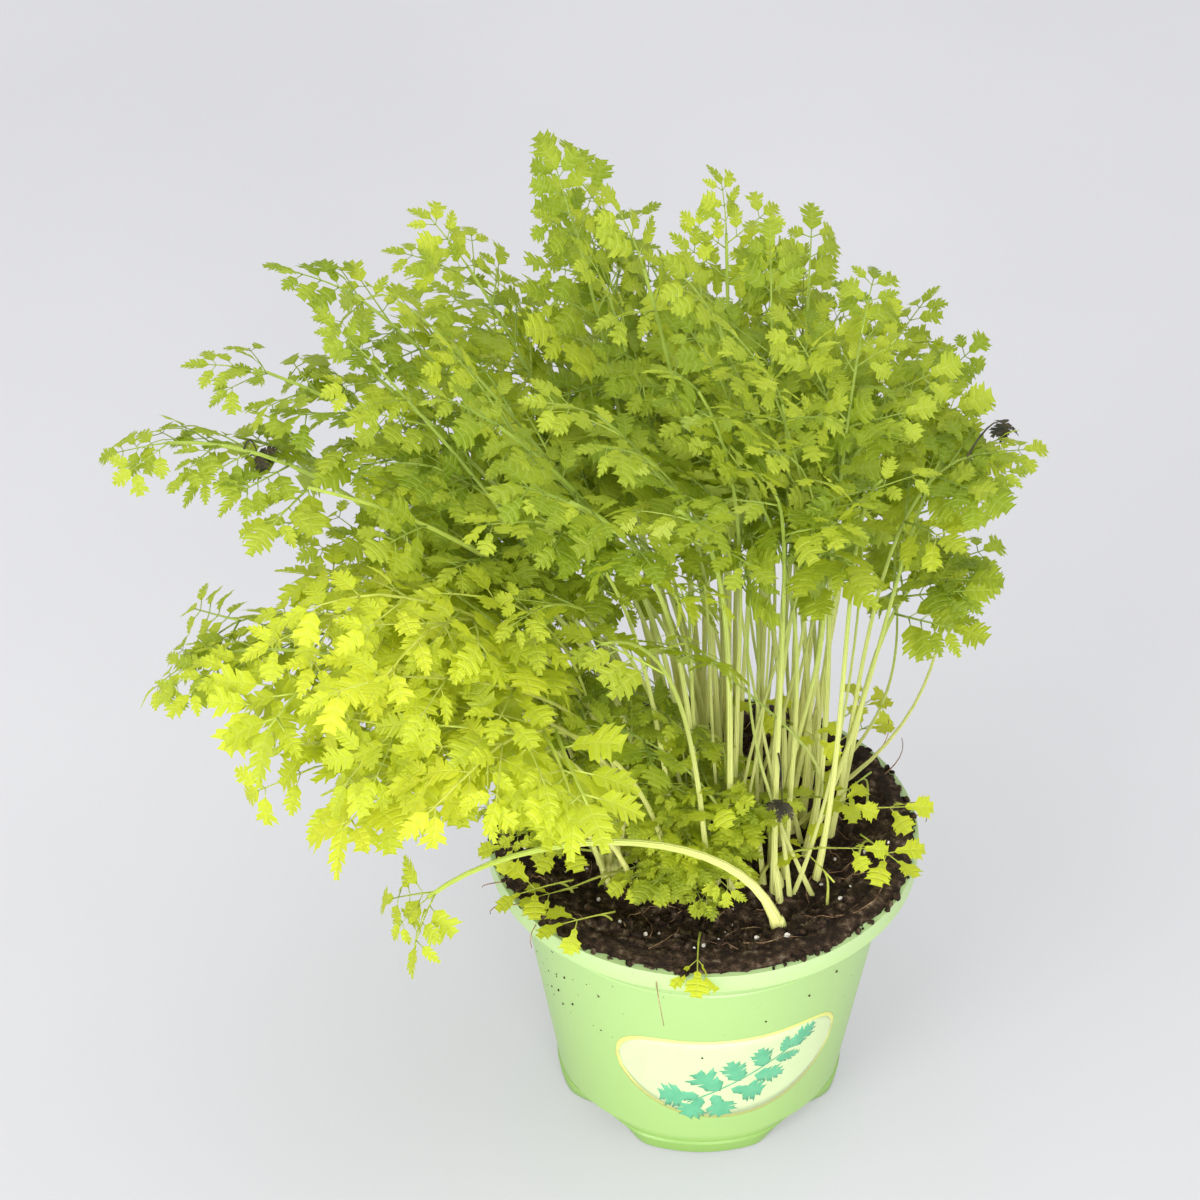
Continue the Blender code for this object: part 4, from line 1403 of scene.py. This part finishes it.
# %% Turn and displace the soil
SOIL_SIDES = 180
SOIL_RINGS = 56
SPILL_REACH = 0.0588
# The spill's section: radius, and height above the rim.
SPILL = [(SOIL_RADIUS + 0.0004, -0.0004), (SPILL_REACH, 0.0001), (SPILL_REACH - 0.0004, 0.0008),
         (0.0568, 0.0014), (0.0545, 0.0017), (0.0528, 0.0016)]
HELD_UP = 0.03  # the bed's rings wait this far above the rest, so that they can be told apart
BANK_RISE = 0.0060
CRUMB_RISE = 0.0022
floor_level = BASE_THICKNESS + GAP
ball = [(0.0, floor_level), (outer_radius(floor_level) - 0.0085, floor_level),
        (outer_radius(0.012) - WALL - GAP, 0.012)]
ball += [(outer_radius(z) - WALL - GAP, z) for z in (0.030, 0.050, 0.070)]
ball += [(radius, POT_HEIGHT + above) for radius, above in SPILL]
ball += [(SOIL_RADIUS * ring / SOIL_RINGS, SOIL_EDGE + HELD_UP)
         for ring in range(SOIL_RINGS, -1, -1)]
bm = spin_profile(ball, SOIL_SIDES)


def crumbly(point):
    """Layered noise from -1 to 1, coarse and fine."""
    coarse = noise.noise(point * 170)
    middle = noise.noise(point * 420 + Vector((7, 1, 3)))
    fine = noise.noise(point * 1100 + Vector((2, 9, 5)))
    return 0.5 * coarse + 0.35 * middle + 0.25 * fine


def bed_height(x, y):
    """The bed's surface: the mound, its crumbs and the banked-up edge."""
    share = hypot(x, y) / SOIL_RADIUS
    bank = BANK_RISE * smooth_step(0.72, 1.0, share)
    return soil_height(x, y) + bank + CRUMB_RISE * crumbly(Vector((x, y, 0)))


for vert in bm.verts:
    radius = hypot(vert.co.x, vert.co.y)
    if vert.co.z > SOIL_EDGE + HELD_UP / 2:
        vert.co.z = bed_height(vert.co.x, vert.co.y)
    elif radius > SOIL_RADIUS + 0.0006:
        around = vert.co.normalized() * 9
        pull = 0.0010 * (0.4 + noise.noise(around)) + 0.0010 * noise.noise(around * 5)
        share = (radius - SOIL_RADIUS) / (SPILL_REACH - SOIL_RADIUS)
        vert.co.x *= 1 - pull * share / radius
        vert.co.y *= 1 - pull * share / radius
        if vert.co.z > POT_HEIGHT + 0.0005:
            vert.co.z += 0.0012 * crumbly(vert.co)
bmesh.ops.recalc_face_normals(bm, faces=bm.faces)
soil_bed = finish_piece("soil_bed", bm, (soil_finish,))
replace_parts(soil_bed, "soil")
print("soil bed", len(soil_bed.data.polygons), "faces")

# %% [markdown]
# ## Crumbs and perlite
#
# Loose crumbs lie on the bed, on the lip and a few on the pot's outer wall. White perlite grains
# are mixed in. Each is a small ico sphere, squashed and pushed about by noise, with few faces,
# because there are more than two thousand.

# %% Scatter the crumbs
CRUMBS_ON_BED = 1500
CRUMBS_ON_LIP = 800
CRUMBS_ON_WALL = 60
COARSE_FROM = 0.0011  # grains from this size on get more faces
rng.seed(3)


def crumb(bm, place, size, rough=0.35):
    """A knobbly grain at a place."""
    levels = 1 if size < COARSE_FROM else 2
    grain = bmesh.ops.create_icosphere(bm, subdivisions=levels, radius=size)["verts"]
    squash = Vector([rng.uniform(0.6, 1.15) for _ in range(3)])
    shift = Vector([rng.uniform(0, 50) for _ in range(3)])
    for vert in grain:
        bulge = 1 + rough * noise.noise(vert.co / size * 1.3 + shift)
        vert.co = vert.co * squash * bulge + place


def bed_spot(inner, outer):
    """A random spot on the bed between two shares of its radius."""
    radius = SOIL_RADIUS * sqrt(rng.uniform(inner**2, outer**2))
    angle = rng.uniform(0, 2 * pi)
    x, y = radius * cos(angle), radius * sin(angle)
    return Vector((x, y, bed_height(x, y)))


bm = bmesh.new()
for _ in range(CRUMBS_ON_BED):
    crumb(bm, bed_spot(0.15, 1.0), rng.choice((0.0004, 0.0005, 0.0007, 0.0009, 0.0014, 0.0018)))
for _ in range(CRUMBS_ON_LIP):
    angle = rng.uniform(0, 2 * pi)
    radius = rng.uniform(SOIL_RADIUS + 0.0015, SPILL_REACH) + abs(rng.gauss(0, 0.0007))
    radius = min(radius, RIM_RADIUS - 0.0002)
    size = rng.choice((0.0003, 0.0004, 0.0006, 0.0009, 0.0012))
    crumb(bm, Vector((radius * cos(angle), radius * sin(angle), POT_HEIGHT + size * 0.4)), size)
for _ in range(CRUMBS_ON_WALL):
    angle = radians(rng.choice((rng.gauss(212, 5), rng.uniform(200, 330))))
    z = POT_HEIGHT * min(0.93, rng.uniform(0.5, 1.1))
    size = rng.choice((0.00013, 0.00016, 0.0002, 0.00028, 0.00045))
    radius = outer_radius(z) + size * 0.1
    crumb(bm, Vector((radius * cos(angle), radius * sin(angle), z)), size)
crumbs = finish_piece("soil_crumbs", bm, (soil_finish,), smooth=False)
print("crumbs", len(crumbs.data.polygons), "faces")

# %% Scatter the perlite
PERLITE_COLOURS = [(0.3, (0.55, 0.50, 0.42)), (0.7, (0.86, 0.84, 0.80))]
PERLITE_GRAINS = 90
perlite_finish, tree, shader = new_material("perlite", 0.85)
cloud = add_mottle(tree, 700, 3000)
perlite_colour = add_ramp(tree, cloud.outputs["Cloud"], PERLITE_COLOURS)
link(tree, perlite_colour, shader.inputs["Base Color"])
add_bump(tree, shader, cloud.outputs["Fine"], 0.0006)
bm = bmesh.new()
for _ in range(PERLITE_GRAINS):
    crumb(bm, bed_spot(0.2, 1.0) + UP * 0.0004, rng.uniform(0.00025, 0.0008), rough=0.5)
finish_piece("perlite_grains", bm, (perlite_finish,), smooth=False)
print("perlite grains", PERLITE_GRAINS)

# %% [markdown]
# ## Fibres and fine roots
#
# Coconut fibres and dead roots lie across the soil and hang over the rim. Each is a thin tube
# along a gently wandering line, drawn with the same helper as the stems.

# %% Lay the fibres
FIBRE_COLOURS = [
    (0.30, (0.10, 0.05, 0.025)),
    (0.55, (0.26, 0.15, 0.07)),
    (0.75, (0.50, 0.36, 0.20)),
]
LOOSE_FIBRES = 70
FIBRE_STEPS = 6
fibre_finish, tree, shader = new_material("fibre", 0.8)
cloud = add_mottle(tree, 300, 2000)
fibre_colour = add_ramp(tree, cloud.outputs["Cloud"], FIBRE_COLOURS)
link(tree, fibre_colour, shader.inputs["Base Color"])
add_bump(tree, shader, cloud.outputs["Fine"], 0.0002)


def thread(bm, points, radius, sides=5):
    """A thin tapered tube along a list of points."""
    frames = []
    for index, point in enumerate(points):
        following = points[min(index + 1, len(points) - 1)]
        along = (following - points[max(index - 1, 0)]).normalized()
        side = along.cross(UP)
        side = side.normalized() if side.length > 1e-3 else Vector((1, 0, 0))
        frames.append((point, side, along.cross(side), along))
    count = len(points)
    radii = [radius * (1 - 0.6 * index / count) for index in range(count)]
    draw_tube(bm, frames, radii, sides, [0.0] * count, 0.0, 0)


def bezier_points(knots, count):
    """Points along a cubic curve through four knots."""
    first, second, third, last = (Vector(knot) for knot in knots)
    points = []
    for index in range(count):
        t = index / (count - 1)
        near_start = first * (1 - t) ** 3 + second * 3 * t * (1 - t) ** 2
        points.append(near_start + third * 3 * t**2 * (1 - t) + last * t**3)
    return points


bm = new_growth()
for _ in range(LOOSE_FIBRES):
    start = bed_spot(0.25, 1.0)
    heading = rng.uniform(0, 2 * pi)
    length = rng.uniform(0.005, 0.020)
    bend = rng.uniform(-1.2, 1.2)
    points = []
    for step in range(FIBRE_STEPS + 1):
        travelled = length * step / FIBRE_STEPS
        turn = heading + bend * step / FIBRE_STEPS
        spot = start + Vector((cos(turn), sin(turn), 0)) * travelled
        spot.z = bed_height(spot.x, spot.y) + 0.0004 + rng.uniform(0, 0.0012)
        if hypot(spot.x, spot.y) < SOIL_RADIUS + 0.004:
            points.append(spot)
    if len(points) > 2:
        thread(bm, points, rng.uniform(0.00008, 0.00020), sides=4)
RIM_FIBRES = [
    # angle round the pot (degrees), reach outwards, drop and sideways run (m)
    (-106, 0.0045, 0.0160, 0.0060), (-150, 0.0100, 0.0040, -0.0030),
    (-146, 0.0080, -0.0010, -0.0050), (-156, 0.0070, 0.0030, -0.0060),
    (-142, 0.0050, 0.0060, 0.0040), (22, 0.0060, -0.0090, 0.0060),
    (30, 0.0050, -0.0120, 0.0030), (12, 0.0070, -0.0030, -0.0050), (4, 0.0060, 0.0060, 0.0060),
]
for angle, out, drop, run in RIM_FIBRES:
    radial = Vector((cos(radians(angle)), sin(radians(angle)), 0))
    tangent = UP.cross(radial)
    foot = radial * (SOIL_RADIUS - 0.003) + UP * (POT_HEIGHT - 0.001)
    lip = radial * (RIM_RADIUS - 0.001) + UP * (POT_HEIGHT + 0.0012) + tangent * run * 0.3
    bow = radial * (RIM_RADIUS + out * 0.8) + UP * (POT_HEIGHT + 0.001 - drop * 0.3)
    bow += tangent * run * 0.7
    end = radial * (RIM_RADIUS + out * 0.6) + UP * (POT_HEIGHT - drop) + tangent * run
    thread(bm, bezier_points((foot, lip, bow, end), 9), 0.00024)
finish_piece("soil_fibres", bm, (fibre_finish,))
print("fibres", LOOSE_FIBRES, "on the bed", len(RIM_FIBRES), "over the rim")

# %% [markdown]
# ## Withered bits
#
# A few small leaflets have dried to almost black. Each bit is a tuft of crumpled leaflets on a
# thin stalk that leaves the nearest stem.

# %% Hang the withered leaflets
WITHERED_COLOURS = [(0.35, (0.012, 0.014, 0.006)), (0.70, (0.075, 0.060, 0.025))]
WITHERED_PLACES = [
    # across, back and above the rim (m)
    (0.066, 0.030, 0.064), (0.078, 0.020, 0.124), (-0.118, 0.006, 0.124), (0.020, -0.030, 0.036),
]
TUFT_LEAFLETS = 5
WITHERED_SIZE = 0.0055
withered_finish, tree, shader = new_material("withered", 0.85)
cloud = add_mottle(tree, 300, 2000)
withered_colour = add_ramp(tree, cloud.outputs["Cloud"], WITHERED_COLOURS)
link(tree, withered_colour, shader.inputs["Base Color"])
add_bump(tree, shader, cloud.outputs["Fine"], 0.0004)
rng.seed(19)
stem_points = [stem_point(plan, step / 20)[0]
               for plan in cad_plans.values() for step in range(5, 18)]
bm = new_growth()
for place in WITHERED_PLACES:
    end = above_rim(place)
    start = min(stem_points, key=lambda point: (point - end).length)
    knots = (start, start.lerp(end, 0.3) + UP * 0.004, start.lerp(end, 0.7) + UP * 0.006, end)
    thread(bm, bezier_points(knots, 7), 0.00035)
    for _ in range(TUFT_LEAFLETS):
        turn = Matrix.Rotation(rng.uniform(0, 2 * pi), 4, "Z")
        turn = turn @ Matrix.Rotation(rng.uniform(-1.2, 0.4), 4, "X")
        place = Matrix.Translation(end) @ turn @ Matrix.Scale(WITHERED_SIZE, 4)
        stamp(bm, rng.choice(LEAFLETS[:2]), place, 0.0)
finish_piece("withered_leaflets", bm, (withered_finish, withered_finish))
print("withered bits", len(WITHERED_PLACES))

# %% [markdown]
# ## Sheathing crowns
#
# Where several stems meet the soil, their feet widen and wrap round each other in a pale sheath,
# as celery does. Each sheath is a short leaning tube that swells and closes again, drawn with the
# helper that draws the stems.

# %% Draw the crowns
SHEATH_HEIGHTS = (-0.003, 0.0, 0.0020, 0.0045, 0.0070)
SHEATH_RADII = (0.0014, 0.0020, 0.0020, 0.0014, 0.0004)
rng.seed(14)
bm = new_growth()
for x, y in [*CROWNS, (fallen_plan["ground"].x, fallen_plan["ground"].y)]:
    ground = Vector((x, y, soil_height(x, y)))
    lean = Vector((rng.uniform(-0.2, 0.2), rng.uniform(-0.2, 0.2), 1)).normalized()
    side = lean.cross(Vector((0, 1, 0))).normalized()
    frames = [(ground + lean * height, side, lean.cross(side), lean) for height in SHEATH_HEIGHTS]
    draw_tube(bm, frames, SHEATH_RADII, 14, [0.9] * len(frames), 0.35, 0)
finish_piece("stem_crowns", bm, (stem_finish,))
print("crowns", len(CROWNS) + 1)
